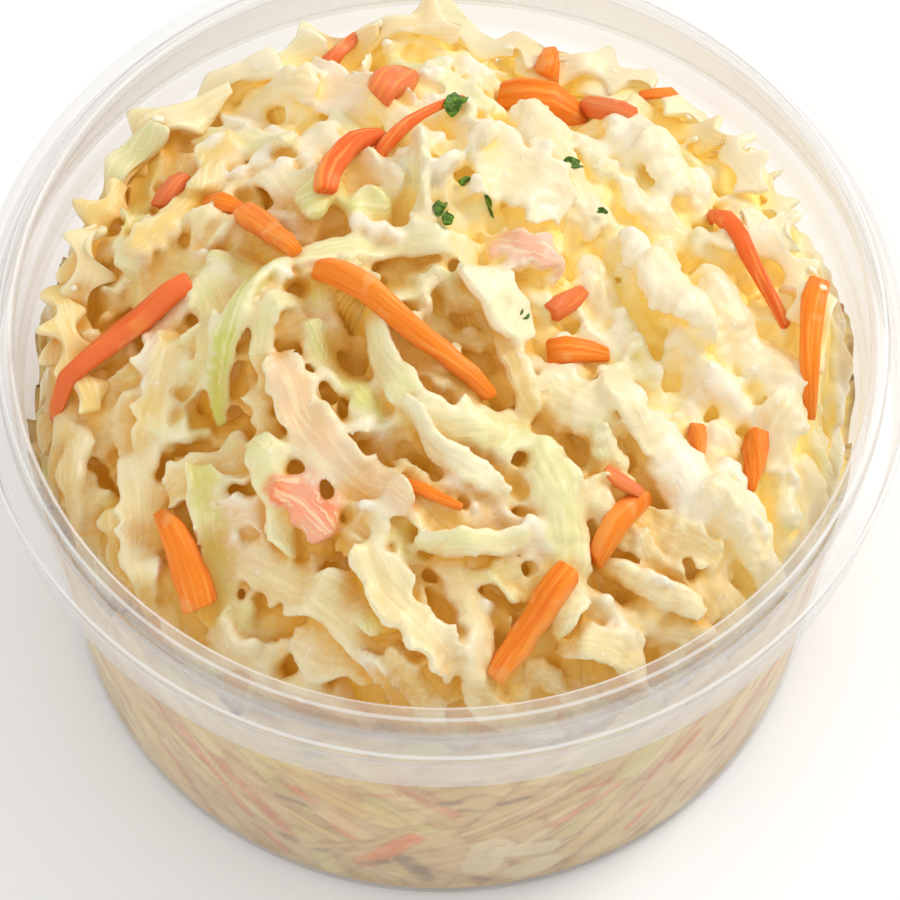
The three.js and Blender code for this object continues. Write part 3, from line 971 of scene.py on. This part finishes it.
def nearest_points(points, wanted):
    """For each wanted place, the nearest of the points and how much each one counts."""
    tree = KDTree(len(points))
    for index, point in enumerate(points):
        tree.insert(point, index)
    tree.balance()
    near = [tree.find_n(point, NEAREST) for point in wanted]
    index = np.array([[found[1] for found in row] for row in near])
    weight = np.array([[1 / (found[2] + NEAR_SOFTNESS) ** 2 for found in row] for row in near])
    return index, weight / weight.sum(axis=1, keepdims=True)


def fused_pieces(kinds, ground, material, slot):
    """The pieces of several kinds under one skin of dressing, cut apart again kind by kind."""
    gathered = [kind.gather(ground) for kind in kinds]
    starts = np.cumsum([0] + [len(carried["points"]) for _, carried in gathered])
    faces = [[index + start for index in face] for part, start in zip(gathered, starts) for face in part[0]]
    names = ("points", "tints", "lies", "ways")
    points, tints, lies, ways = [np.concatenate([part[1][name] for part in gathered]) for name in names]
    skin = joined_by_dressing(points, faces)
    curdle(skin)
    skin_points = points_of(skin) / MM
    index, weight = nearest_points(points, skin_points)
    skin_tints = (tints[index] * weight[:, :, None]).sum(axis=1)
    nearest = index[:, 0]
    owner = np.searchsorted(starts, nearest, side="right") - 1
    skin_lies = lies[nearest]
    skin_lies[:, :2] += np.einsum("nij,nj->ni", ways[nearest], skin_points - points[nearest])
    normals = normals_of(skin)
    corners = np.empty(len(skin.loops), np.int32)
    skin.loops.foreach_get("vertex_index", corners)
    corners = corners.reshape(-1, QUAD)
    bed = ground.bed_height(skin_points[:, 0], skin_points[:, 1])
    shown = (skin_points[:, 2] - bed)[corners].max(axis=1) > -UNDER_BED
    clear = clear_of_borders(corners, lies[nearest, 2] * len(kinds) + owner)
    for number, kind in enumerate(kinds):
        own = corners[shown & (owner[corners[:, 0]] == number)]
        used, renumbered = np.unique(own, return_inverse=True)
        mesh = bpy.data.meshes.new(kind.name)
        mesh.from_pydata(skin_points[used] * MM, [], renumbered.reshape(-1, QUAD))
        looks = (skin_tints[used], skin_lies[used], clear[used])
        coloured_piece(kind.name, mesh, ground, *looks, material, slot)
        mesh.normals_split_custom_set_from_vertices(normals[used])


templates = {}


def made_once(make, *steps):
    """A template for pieces, made when it is first asked for and then used again."""
    key = (make, *steps)
    if key not in templates:
        templates[key] = make(*steps)
    return templates[key]


def leaf_slab(cut):
    along = max(SLAB_FEWEST_STEPS, round(cut.length / SLAB_STEP))
    return made_once(slab, along, WIDE_STEPS if cut.width > WIDE_FROM else NARROW_STEPS)


def bar(cut):
    return made_once(stick, round(cut.length / BAR_STEP))


# ---- the kinds of pieces


def vary(low, high):
    return low + (high - low) * random.random()


def leaf(x, y, heading, length, width, bend=0.0, tint=CREAM):
    """A wide cut of leaf, with lobes along both edges."""
    return Cut(
        x, y, heading, length, width, bend,
        thickness=vary(1.7, 2.2),
        sway=vary(-16, 16),
        hump=vary(0.2, 1.0),
        wave=vary(0.2, 0.8),
        tilt=vary(-30, 30),
        cup=vary(-1.5, 1.8) * width / 7,
        twist=vary(-40, 40),
        lobe_pitch=vary(3.4, 4.8),
        lobe_depth=vary(0.9, 1.6),
        ruffle=vary(0.4, 1.1),
        tint=tuple(tint * vary(0.95, 1.03)),
    )


def ribbon(x, y, heading, length, width, bend=0.0, tint=WHITE):
    """A smooth thick ribbon of white rib, well coated."""
    lobed = leaf(x, y, heading, length, width, bend, tint)
    return replace(lobed, lobe_depth=0.45, ruffle=0.3, thickness=2.0, cup=lobed.cup / 2)


def shred(x, y, heading, length, width, bend=0.0, tint=CREAM):
    """A thin shred that arches over its neighbours."""
    thin = leaf(x, y, heading, length, width, bend, tint)
    return replace(thin, thickness=vary(1.3, 1.6), cup=0.0, lobe_depth=0.4, ruffle=0.3, hump=vary(0.6, 2.0))


def clot(x, y, heading, length, width, bend=0.0, tint=CREAM):
    """A rounded lump of small cut pieces that thick dressing holds together."""
    rounded = leaf(x, y, heading, length, width, bend, tint)
    rounded = replace(rounded, thickness=vary(2.2, 2.9), cup=vary(-1.5, -0.7), tilt=rounded.tilt * 0.6)
    return replace(rounded, lobe_pitch=vary(2.4, 3.4), lobe_depth=vary(0.5, 0.9), ruffle=0.4, press=NESTING)


def jagged(x, y, heading, length, width, bend, tint):
    """A strip with large pointed lobes. Its right edge stands out of the heap."""
    stood = leaf(x, y, heading, length, width, bend, tint)
    stood = replace(stood, spiky=True, lobe_depth=vary(2.8, 3.8), lobe_pitch=vary(6.5, 9.0), ruffle=0.3)
    stood = replace(stood, tilt=-vary(25, 45), twist=vary(-20, 20), cup=vary(-0.4, 0.6), hump=vary(0.0, 0.8))
    return replace(stood, thickness=1.5, sink=vary(-0.8, 0.6), paleness=0.4)


def chunk(x, y, heading, length, width, tint=SALMON):
    """A short knobbly chunk under thick dressing."""
    knobbly = leaf(x, y, heading, length, width, 0.0, tint)
    knobbly = replace(knobbly, lobe_pitch=4.4, lobe_depth=1.6, ruffle=0.3, end_taper=0.6, paleness=0.2)
    return replace(knobbly, thickness=2.4, cup=0.0, tilt=0.0, twist=0.0)


def drop(x, y, size, tint=WHITE):
    """A bead of dressing."""
    flat = {"hump": 0.0, "lobe_depth": 0.0, "ruffle": 0.0}
    return Cut(x, y, 0.0, size, size * 0.9, thickness=size * 0.6, tint=tuple(tint), **flat)


def carrot(x, y, heading, length, width, bend=0.0, narrowing=0.2, tint=CARROT, sink=1.5):
    """A stiff stick of carrot that narrows along its heading, half sunk, with its edges eased."""
    return Cut(
        x, y, heading, length, width, bend,
        thickness=width * 0.85,
        sway=vary(-2, 2),
        hump=0.3,
        tilt=vary(15, 40),
        twist=vary(-15, 15),
        narrowing=narrowing,
        lobe_depth=0.06 * width,
        lobe_pitch=vary(5.0, 8.0),
        ruffle=0.04 * width,
        end_taper=0.22,
        sag=CARROT_SAG,
        passes=STIFF_PASSES,
        sink=sink,
        paleness=0.06,
        tint=tuple(tint),
    )


top_leaves = [
    leaf(-36, -25, -85, 25, 5.4, 20, CREAM),
    leaf(-31, -10, 5, 21, 4.8, 40, PALE_GREEN),
    leaf(-29, 0, -55, 20, 6.0, -20, PALE_GREEN),
    leaf(-45, -15, -80, 26, 5.2, -30, GOLDEN),
    leaf(-40, 7, 60, 13, 7.0, 15, CREAM),
    leaf(-45, 14, -55, 17, 4.6, 15, CREAM),
    leaf(-33, 25, -40, 18, 5.6, 25, WHITE),
    leaf(-28, 34, -55, 16, 5.8, -20, WHITE),
    leaf(-20, 37, -80, 20, 5.6, 15, CREAM),
    leaf(-12, 29, -35, 18, 6.0, 15, PEACH),
    leaf(-19, 13, -55, 19, 6.4, 30, CREAM),
    leaf(38, 19, -100, 22, 6.4, -15, GOLDEN),
    leaf(43, 8, -98, 19, 6.4, 20, GOLDEN),
    leaf(26, 26, -60, 20, 8.6, -25, CREAM),
    leaf(14, 18, -65, 22, 8.5, 20, GOLDEN),
    leaf(42, -13, 70, 15, 7.4, 10, GOLDEN),
    ribbon(29, -24, -60, 21, 8.6, -20, WHITE),
    ribbon(37, -3, -50, 19, 8.4, 20, GOLDEN),
    ribbon(28, -1, -55, 13, 8.0, -15, CREAM),
    leaf(0, -44, -60, 12, 7.1, 15, GOLDEN),
    leaf(-10, -46, -12, 17, 5.0, 20, CREAM),
    leaf(23, -40, -5, 19, 4.3, -15, CREAM),
    leaf(37, -28, -30, 12, 6.8, 15, CREAM),
    leaf(-14, -40, -35, 25, 6.0, -25, CREAM),
    leaf(-6, -37, -85, 15, 8.0, 10, LEAF_GREEN),
    leaf(-26, -24, 10, 14, 5.5, -20, CREAM),
    leaf(16, -17, -30, 13, 8.4, 15, CREAM),
    leaf(-4, 12, -83, 18, 7.6, -15, LEAF_GREEN),
    leaf(9, 14, -35, 13, 7.8, 15, CREAM),
]

top_shreds = [
    shred(19, -44, -10, 11, 4.4, 10, CREAM),
    leaf(14.5, -32, -82, 23, 6.2, 12, PALE_GREEN),
    shred(25, -37, -20, 14, 3.6, -15, CREAM),
    shred(-6, -15.5, -65, 21, 4.4, 25, PALE_GREEN),
    leaf(3, -22, 4, 15, 6.0, 25, PALE_GREEN),
    shred(1, -26, -35, 16, 3.4, 25, RIB),
    shred(4, -36, 6, 14, 3.2, 20, PALE_GREEN),
    leaf(-5, -43, -49, 17, 4.8, 15, CREAM),
    leaf(-19, -29, -70, 14, 4.6, -25, PALE_GREEN),
    shred(22, -17, -60, 14, 4.2, 20, CREAM),
    shred(9, -13, -70, 12, 3.2, 30, GOLDEN),
    shred(-24, -8, 240, 22, 3.3, 100, STEM_GREEN),
    shred(-21, -10, 240, 12, 2.8, 80, PALE_GREEN),
    shred(-8, 2, 11, 23, 3.9, 10, PALE_GREEN),
]

top_carrots = [
    carrot(-39, -6.5, 216, 21, 4.2, 4, 0.5, RED_CARROT),
    carrot(-30.5, -34, 114, 12.5, 5.0, 10, 0.6),
    carrot(11, -43, 232, 14, 3.7, 0, 0.25),
    carrot(21, -31, 56, 11, 3.2, 0, 0.1),
    carrot(45, -4, -95, 16, 3.4, 25, 0.5),
    carrot(12, 34, -12, 11, 4.2, 0, 0.2),
    carrot(21, 32, -40, 8, 3.2, 0, 0.3, SALMON),
    carrot(31, 37, 195, 12, 3.0, -15, 0.7),
    carrot(16, -9, 6, 7, 3.8, 0, 0.5),
    carrot(-7, 29, 56, 7, 4.2, 0, 0.1, SALMON),
    carrot(38, -19, -98, 8, 3.8, 0, 0.7),
    carrot(15, -2, 51, 6, 3.2, 0, 0.4, SALMON),
    carrot(-14, 40, 54, 7, 2.2, 0, 0.4, SALMON),
    carrot(-34, 16, 54, 5, 3.5, 0, 0.3, SALMON),
    carrot(-27, 11, -27, 5, 3.0, 0, 0.4),
    carrot(38, 8, -63, 19, 2.6, -8, 0.5, RED_CARROT, 1.2),
    carrot(31, -18, -90, 5.5, 3.0, 0, 0.6),
    carrot(21.6, -26.5, -27, 5, 2.0, 0, 0.3, SALMON, 0.6),
    carrot(-2, -30, -24, 9, 1.8, 0, 0.5, CARROT, 0.4),
    carrot(13.5, 42, 80, 6, 4.0, 0, 0.9),
]

crinkled = {"lobe_pitch": 3.8, "lobe_depth": 1.3, "ruffle": 1.2, "cup": 0.6, "twist": 15.0}
last_leaves = [
    chunk(10, 3, -23, 9.5, 4.4, SALMON),
    chunk(-15.5, -31, -38, 9.5, 4.6, SALMON),
    chunk(-15.0, 8.8, 20, 6.0, 5.4, LEAF_GREEN),
    chunk(-9.0, 7.0, 10, 5.4, 4.8, LEAF_GREEN),
    drop(-7.7, 3.6, 2.6),
    drop(-10.2, 4.8, 2.2),
    drop(-5.9, 2.8, 1.8),
    drop(-23, 18.4, 2.8),
    drop(-19.8, 16.7, 2.2),
    drop(-25.5, 16.9, 1.8),
    replace(leaf(-13.5, -24.5, -49, 26, 5.4, 10, PEACH), **crinkled),
    replace(ribbon(6, -5, -64, 12.5, 7.2, 10, RIB), cup=0.6, tilt=-8.0, twist=0.0),
]

last_carrots = [
    carrot(-12.5, 14.5, 62, 14, 3.2, -55, 0.3, RED_CARROT, 0.5),
    carrot(-4, 21, 45, 15, 2.0, -30, 0.6, RED_CARROT, 0.3),
    carrot(-21, 4, -55, 12, 3.4, 0, 0.4, CARROT, 0.6),
    carrot(-5, -10, -34, 25, 3.6, 0, 0.45, CARROT, 0.3),
]

herb_places = [
    (1.2, 24.4, 60, 4.0),
    (-0.5, 6.8, 70, 2.6),
    (0.5, 4.7, 80, 2.4),
    (2.5, 11.1, 20, 1.6),
    (5.6, 9.0, 10, 1.2),
    (15.9, 16.9, 30, 2.6),
    (19.5, 10.2, -20, 1.3),
    (9.9, -5.9, 75, 2.4),
]


# ---- filling the heap

# Small clots in thick dressing lie to the right of one line and behind another
CLOTS_FROM_X = 3.0
CLOTS_FROM_Y = 15.0
CLOTS_BORDER = 6.0
CLOT_HEADING = -55
LEVEL_FILL = -2.4
LEVEL_SIZE = 0.7
COVER_FILL = -6.0
COVER_FRONT_FROM_Y = -26.0

FILL_TRIES = 160
FILL_BORDER = 1.5
FAR_BORDER = 5.0
FRONT_BELOW = -0.3
COVER_UPRIGHT_BELOW = -26.0
SHREDS_UP_TO = 4.0
FIRST_FILL = 2.0
LAST_FILL = 0.3
LAST_SIZE = 0.85
DROPS = 50
TIPS_FROM = 0
TIPS_TO = 196
TIPS_EVERY = 11
TIP_RADIUS = 45.0
LOOSE_TINTS = [WHITE, CREAM, CREAM, PALE_GREEN, GOLDEN, GOLDEN, LEAF_GREEN]
TIP_TINTS = [CREAM, GOLDEN, GOLDEN, PALE_GREEN]


def any_tint():
    return LOOSE_TINTS[int(random.integers(len(LOOSE_TINTS)))]


def is_clotted(x, y):
    """Whether a place is where small clots lie. The border between them and the leaves is ragged."""
    fray = vary(-CLOTS_BORDER, CLOTS_BORDER)
    return x + fray > CLOTS_FROM_X or y + fray > CLOTS_FROM_Y


def lay_loose(ground, kinds, cut):
    name = "golden" if cut.tint[2] < CREAM[2] * 0.8 else "pale"
    kinds[name].lay(ground, cut)


def fill_heap(ground, kinds, down_to, size, far_border=FILL_BORDER):
    """Lays loose pieces where the heap is lowest, any way round, until it nears its outline."""
    x, y, want = ground.lowest_place(FILL_TRIES, FILL_BORDER, far_border)
    while want > down_to:
        heading = vary(0, 360)
        bend = vary(-60, 60)
        if want > SHREDS_UP_TO:
            cut = shred(x, y, heading, vary(10, 24), vary(2.4, 4.0), bend, any_tint())
        elif is_clotted(x, y):
            heading = CLOT_HEADING + vary(-30, 30)
            cut = clot(x, y, heading, vary(8, 17) * size, vary(3.8, 5.6) * size**0.5, bend / 2, any_tint())
        else:
            cut = leaf(x, y, heading, vary(11, 22) * size, vary(4.5, 7.5) * size, bend, any_tint())
            cut = replace(cut, tilt=vary(-55, 55), press=NESTING)
        lay_loose(ground, kinds, cut)
        x, y, want = ground.lowest_place(FILL_TRIES, FILL_BORDER, far_border)


def cover_left(ground, kind):
    """Clean-cut leaves over what is still low at the heap's left and front, one beside the other."""
    x, y, want = ground.lowest_place(FILL_TRIES, FILL_BORDER, FAR_BORDER, left_only=True)
    while want > COVER_FILL:
        heading = vary(50, 110) if x < COVER_UPRIGHT_BELOW else vary(-75, -15)
        cut = leaf(x, y, heading, vary(9, 18), vary(3.4, 5.2), vary(-40, 40), any_tint())
        cut = replace(cut, spiky=random.random() < 0.5, tilt=vary(-30, 30), hump=vary(0.0, 0.5), press=0.85)
        kind.lay(ground, cut)
        x, y, want = ground.lowest_place(FILL_TRIES, FILL_BORDER, FAR_BORDER, left_only=True)


def as_ridge(cut):
    """A placed leaf where the dressing is thick: narrower, with its middle raised and its sides down."""
    return replace(cut, width=cut.width * 0.8, thickness=2.6, cup=-1.4, tilt=cut.tilt / 3, lobe_pitch=3.0)


def stand_tips(ground, kinds):
    """Jagged strips round the far side of the border, with their points outwards."""
    for place in np.arange(TIPS_FROM, TIPS_TO, TIPS_EVERY):
        angle = place + vary(-TIPS_EVERY, TIPS_EVERY) / 4
        radius = TIP_RADIUS + vary(-1, 1)
        x = radius * math.cos(math.radians(angle))
        y = radius * math.sin(math.radians(angle))
        tint = TIP_TINTS[int(random.integers(len(TIP_TINTS)))]
        length = vary(14, 20)
        cut = jagged(x, y, angle + 90 + vary(-18, 18), length, vary(4.5, 6.0), length, tint)
        kinds["tips"].lay(ground, cut)


def scatter_drops(ground, kind):
    """Small beads of dressing all over the heap."""
    for _ in range(DROPS):
        angle = vary(0, 2 * math.pi)
        radius = (HEAP_RADIUS - 4) * math.sqrt(random.random())
        kind.lay(ground, drop(radius * math.cos(angle), radius * math.sin(angle), vary(1.0, 1.8)))


def herb(x, y, heading, length):
    """A torn fleck of a small green leaf."""
    fleck = leaf(x, y, heading, length, length * 0.55, 20, HERB)
    fleck = replace(fleck, lobe_pitch=0.9, lobe_depth=0.2, ruffle=0.15, paleness=0.0)
    return replace(fleck, thickness=0.35, cup=0.3, hump=0.2, tilt=0.0)


def make_heap():
    ground = Ground()
    kinds = {
        "pale": Kind("pale_cabbage", leaf_slab),
        "golden": Kind("golden_cabbage", leaf_slab),
        "top": Kind("top_cabbage", leaf_slab),
        "cover": Kind("cover_cabbage", leaf_slab),
        "tips": Kind("leaf_tips", leaf_slab),
        "carrot": Kind("carrot_sticks", bar),
        "herb": Kind("herb_flecks", leaf_slab),
    }
    fill_heap(ground, kinds, FIRST_FILL, 1.0)
    fill_heap(ground, kinds, LAST_FILL, LAST_SIZE)
    fill_heap(ground, kinds, LEVEL_FILL, LEVEL_SIZE, FAR_BORDER)
    for cut in top_leaves:
        if cut.x > CLOTS_FROM_X + CLOTS_BORDER:
            lay_loose(ground, kinds, as_ridge(cut))
        else:
            kinds["top"].lay(ground, replace(cut, press=NESTING))
    cover_left(ground, kinds["cover"])
    stand_tips(ground, kinds)
    for cut in top_shreds:
        kinds["top"].lay(ground, replace(cut, press=NESTING))
    scatter_drops(ground, kinds["top"])
    for cut in top_carrots:
        kinds["carrot"].lay(ground, cut)
    for cut in last_leaves:
        kinds["top"].lay(ground, cut)
    for cut in last_carrots:
        kinds["carrot"].lay(ground, cut)
    for place in herb_places:
        kinds["herb"].lay(ground, herb(*place))
    make_bed(ground)
    cream = dressed_material()
    cabbage = [kinds[name] for name in ("pale", "golden", "top", "cover")]
    fused_pieces(cabbage, ground, cream, "coleslaw")
    tips = crisp_piece(kinds["tips"], ground, cream, "coleslaw")
    subdivide(tips)
    crisp_piece(kinds["carrot"], ground, carrot_material(), "carrot")
    herbs = crisp_piece(kinds["herb"], ground, herb_material(), "herb")
    subdivide(herbs)


# ---- the bed


def bed_profile():
    """From the middle of the underside, up the wall and over the dome to its middle."""
    heights = np.arange(BASE_CORNER + BED_PITCH, HEAP_EDGE_HEIGHT, BED_PITCH)
    radii = np.arange(wall_radius(HEAP_EDGE_HEIGHT) - DOME_PITCH, 1.0, -DOME_PITCH)
    under = [(0, BED_FOOT), *corner_arc(BASE_RADIUS - BASE_CORNER, BASE_CORNER, BASE_CORNER - BED_FOOT)]
    wall = [(wall_radius(height) + BED_BITE, height) for height in heights]
    dome = [(radius, 2 * TUB_HEIGHT) for radius in radii]
    return under + wall + dome + [(0, 2 * TUB_HEIGHT)]


@dataclass
class Pressed:
    """A piece against the wall. It lies some way round it and up it, and slopes by its heading."""

    around: float
    height: float
    heading: float
    length: float
    width: float
    tint: tuple
    blur: float = PRESS_BLUR

    def cover(self, around, height):
        """How much the piece covers of each place of the wall, from 0 to 1, soft at its edge."""
        lap = 2 * math.pi * HEAP_RADIUS
        across = (around - self.around + lap / 2) % lap - lap / 2
        up = height - self.height
        turn = math.radians(self.heading)
        along = np.abs(across * math.cos(turn) + up * math.sin(turn)) - self.length / 2 + self.width / 2
        aside = np.abs(-across * math.sin(turn) + up * math.cos(turn))
        distance = np.hypot(np.maximum(along, 0), aside) - self.width / 2
        share = np.clip(0.5 - distance / self.blur, 0, 1)
        return share * share * (3 - 2 * share)


# Pieces against the front of the wall: way round it, height, heading, length, width, tint
wall_pieces = [
    (241.0, 16.0, 60, 17, 3.0, CARROT),
    (254.0, 14.0, 80, 14, 6.0, WHITE),
    (259.0, 14.5, -15, 11, 5.0, WHITE),
    (260.5, 7.0, 20, 9, 6.0, WHITE),
    (244.5, 10.0, -70, 10, 2.6, BROWN),
    (249.0, 35.2, 10, 3.4, 1.2, BROWN),
    (251.5, 32.4, -20, 3.0, 1.0, BROWN),
    (257.1, 34.1, 15, 4.4, 1.2, BROWN),
    (230.0, 30.3, -40, 5.0, 1.2, CARROT),
    (235.0, 20.4, -50, 6.0, 1.3, CARROT),
    (225.0, 7.3, -60, 6.0, 1.3, CARROT),
    (241.1, 36.8, 20, 4.0, 1.0, SALMON),
    (216.8, 23.0, -64, 22, 1.3, SALMON),
    (275.7, 11.3, 60, 7.0, 1.5, CARROT),
    (281.7, 28.3, 50, 7.0, 1.4, SALMON),
    (293.8, 11.3, 70, 6.0, 1.5, CARROT),
    (268.2, 31.3, -10, 5.0, 1.3, SALMON),
]

PRESSED_STRIPS = 230
PRESSED_SHREDS = 120
PRESSED_SPECKS = 40
STRIP_SLOPE = 48
STRIPS_CROSS = 22
PRESSED_TINTS = [CREAM, DRESSING, GOLDEN, CREAM, DRESSING, LEAF_GREEN, PEACH, CREAM, GOLDEN, DRESSING]


def strip_heading(around):
    """Strips slope down to the front from both sides, and cross each other where they meet."""
    from_front = math.degrees(around / HEAP_RADIUS) - 270
    from_front = (from_front + 180) % 360 - 180
    side = math.copysign(1, from_front + vary(-STRIPS_CROSS, STRIPS_CROSS))
    return side * STRIP_SLOPE + vary(-18, 18)


def pressed_piece(length, width, tint):
    """A piece somewhere against the wall."""
    around = vary(0, 2 * math.pi * HEAP_RADIUS)
    heading = strip_heading(around)
    return Pressed(around, vary(1, HEAP_EDGE_HEIGHT), heading, length, width, tint)


def pressed_pieces():
    """What lies against the wall: mostly pale strips of cabbage, some carrot, a few dark specks."""
    pieces = []
    for number in range(PRESSED_STRIPS):
        tint = PRESSED_TINTS[number % len(PRESSED_TINTS)]
        pieces.append(pressed_piece(vary(12, 34), vary(2.6, 6.5), tint))
    for number in range(PRESSED_SHREDS):
        tint = SALMON if number % 5 == 0 else PRESSED_TINTS[number % len(PRESSED_TINTS)]
        pieces.append(pressed_piece(vary(6, 24), vary(1.0, 1.9), tint))
    pieces.extend(Pressed(*placed, CRISP_BLUR) for placed in wall_pieces)
    for _ in range(PRESSED_SPECKS):
        speck = pressed_piece(vary(1.5, 4.5), vary(0.7, 1.3), BROWN)
        pieces.append(replace(speck, heading=vary(-40, 40)))
    return pieces


def pressed_look(angle, height, wall):
    """The bed's tint with what is pressed to the wall, and how far it is pressed out at each place."""
    tint = np.tile(DRESSING, (len(height), 1))
    relief = np.zeros(len(height))
    around = (angle % (2 * math.pi)) * HEAP_RADIUS
    for piece in pressed_pieces():
        share = np.where(wall, piece.cover(around, height), 0)
        cover = share[:, None] * PRESSED_COVER
        # Painted shade: a darker line round the edge of each pressed piece
        rim = np.outer(4 * share * (1 - share), 1 - CREASE_SHADE)
        tint = (tint * (1 - cover) + piece.tint * cover) * (1 - rim)
        relief = np.maximum(relief, share)
    return tint, relief


def make_bed(ground):
    """Turns the bed's outline, brings its dome up to the laid pieces, and shapes and tints its wall."""
    profile = [(radius * MM, height * MM) for radius, height in bed_profile()]
    mesh = turned_mesh("dressed_bed", profile, BED_STEPS)
    points = points_of(mesh) / MM
    x, y, z = points.T
    dome = z > TUB_HEIGHT
    wall = (z > BASE_CORNER + 0.1) & ~dome
    flat = np.stack([x, y, np.zeros(len(x))], axis=1)
    top = ground.bed_height(x, y) + BED_LUMP * billows(flat / BED_LUMP_PITCH)
    angle = np.arctan2(y, x)
    edge_radius = HEAP_RADIUS - 1
    edge = ground.bed_height(edge_radius * np.cos(angle), edge_radius * np.sin(angle))
    stretch = (edge - BASE_CORNER) / (HEAP_EDGE_HEIGHT - BASE_CORNER)
    z = np.where(dome, top, np.where(wall, BASE_CORNER + (z - BASE_CORNER) * stretch, z))
    tint, relief = pressed_look(angle, z, wall)
    wanted = wall_radius(z) + BED_BITE - PRESS_DEPTH * (1 - relief)
    ratio = np.where(wall, wanted / np.maximum(np.hypot(x, y), 1), 1)
    set_points(mesh, np.stack([x * ratio, y * ratio, z], axis=1) * MM)
    # Painted shade: the wall is darker than the dome, and darker still towards the base
    lit = LOW_SHADE + (1 - LOW_SHADE) * np.clip(z / LOW_SHADE_TO, 0, 1)[:, None]
    tint = np.where(dome[:, None], tint, tint * WALL_SHADE * lit)
    set_attribute(mesh, "tint", "FLOAT_COLOR", "color", tint)
    place = np.stack([x, y, z], axis=1)
    # The painted gap shade: at least DOME_HOLLOW on the dome, and some on the wall between the pressed
    # pieces
    hollow = np.where(dome, np.maximum(DOME_HOLLOW, ground.hollow(place)), WALL_HOLLOW * (1 - relief))
    set_attribute(mesh, "hollow", "FLOAT", "value", hollow)
    bed = put_in_scene("dressed_bed", mesh, bed_material())
    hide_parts("coleslaw")


# ---- the floor, the light and the camera


def make_camera():
    back = Vector((0, -math.cos(VIEW_ELEVATION), math.sin(VIEW_ELEVATION)))
    data = bpy.data.cameras.new("camera")
    data.lens = VIEW_LENS
    data.sensor_width = VIEW_SENSOR
    camera = bpy.data.objects.new("camera", data)
    bpy.context.collection.objects.link(camera)
    camera.location = (VIEW_TARGET + back * VIEW_DISTANCE) * MM
    camera.rotation_mode = "QUATERNION"
    level = (-back).to_track_quat("-Z", "Y")
    camera.rotation_quaternion = level @ Quaternion((0, 0, 1), VIEW_ROLL)
    bpy.context.scene.camera = camera


def make_floor():
    bm = bmesh.new()
    bmesh.ops.create_grid(bm, x_segments=1, y_segments=1, size=3.0)
    mesh = bpy.data.meshes.new("floor")
    bm.to_mesh(mesh)
    bm.free()
    floor = bpy.data.objects.new("floor", mesh)
    bpy.context.collection.objects.link(floor)
    paint = Paint("pale_floor")
    mesh.materials.append(paint.finish(Base_Color=seen(249, 250, 252), Roughness=0.7))


def add_light(name, place, size, power, colour):
    data = bpy.data.lights.new(name, "AREA")
    data.shape = "DISK"
    data.size = size
    data.energy = power
    data.color = colour
    lamp = bpy.data.objects.new(name, data)
    lamp.location = place
    lamp.rotation_mode = "QUATERNION"
    lamp.rotation_quaternion = (Vector((0, 0, 0.05)) - Vector(place)).to_track_quat("-Z", "Y")
    bpy.context.collection.objects.link(lamp)


def make_light():
    world = bpy.data.worlds.new("studio")
    world.use_nodes = True
    background = world.node_tree.nodes["Background"]
    background.inputs["Color"].default_value = (1.0, 1.0, 1.0, 1.0)
    background.inputs["Strength"].default_value = 0.84
    bpy.context.scene.world = world
    add_light("key", (0.46, 0.27, 0.48), 0.34, 2.2, (1.0, 0.985, 0.96))
    add_light("fill", (-0.4, -0.35, 0.45), 0.5, 0.5, (0.97, 0.98, 1.0))
    bpy.context.scene.view_settings.view_transform = "Standard"


make_camera()
make_floor()
make_light()
make_tub()
make_heap()
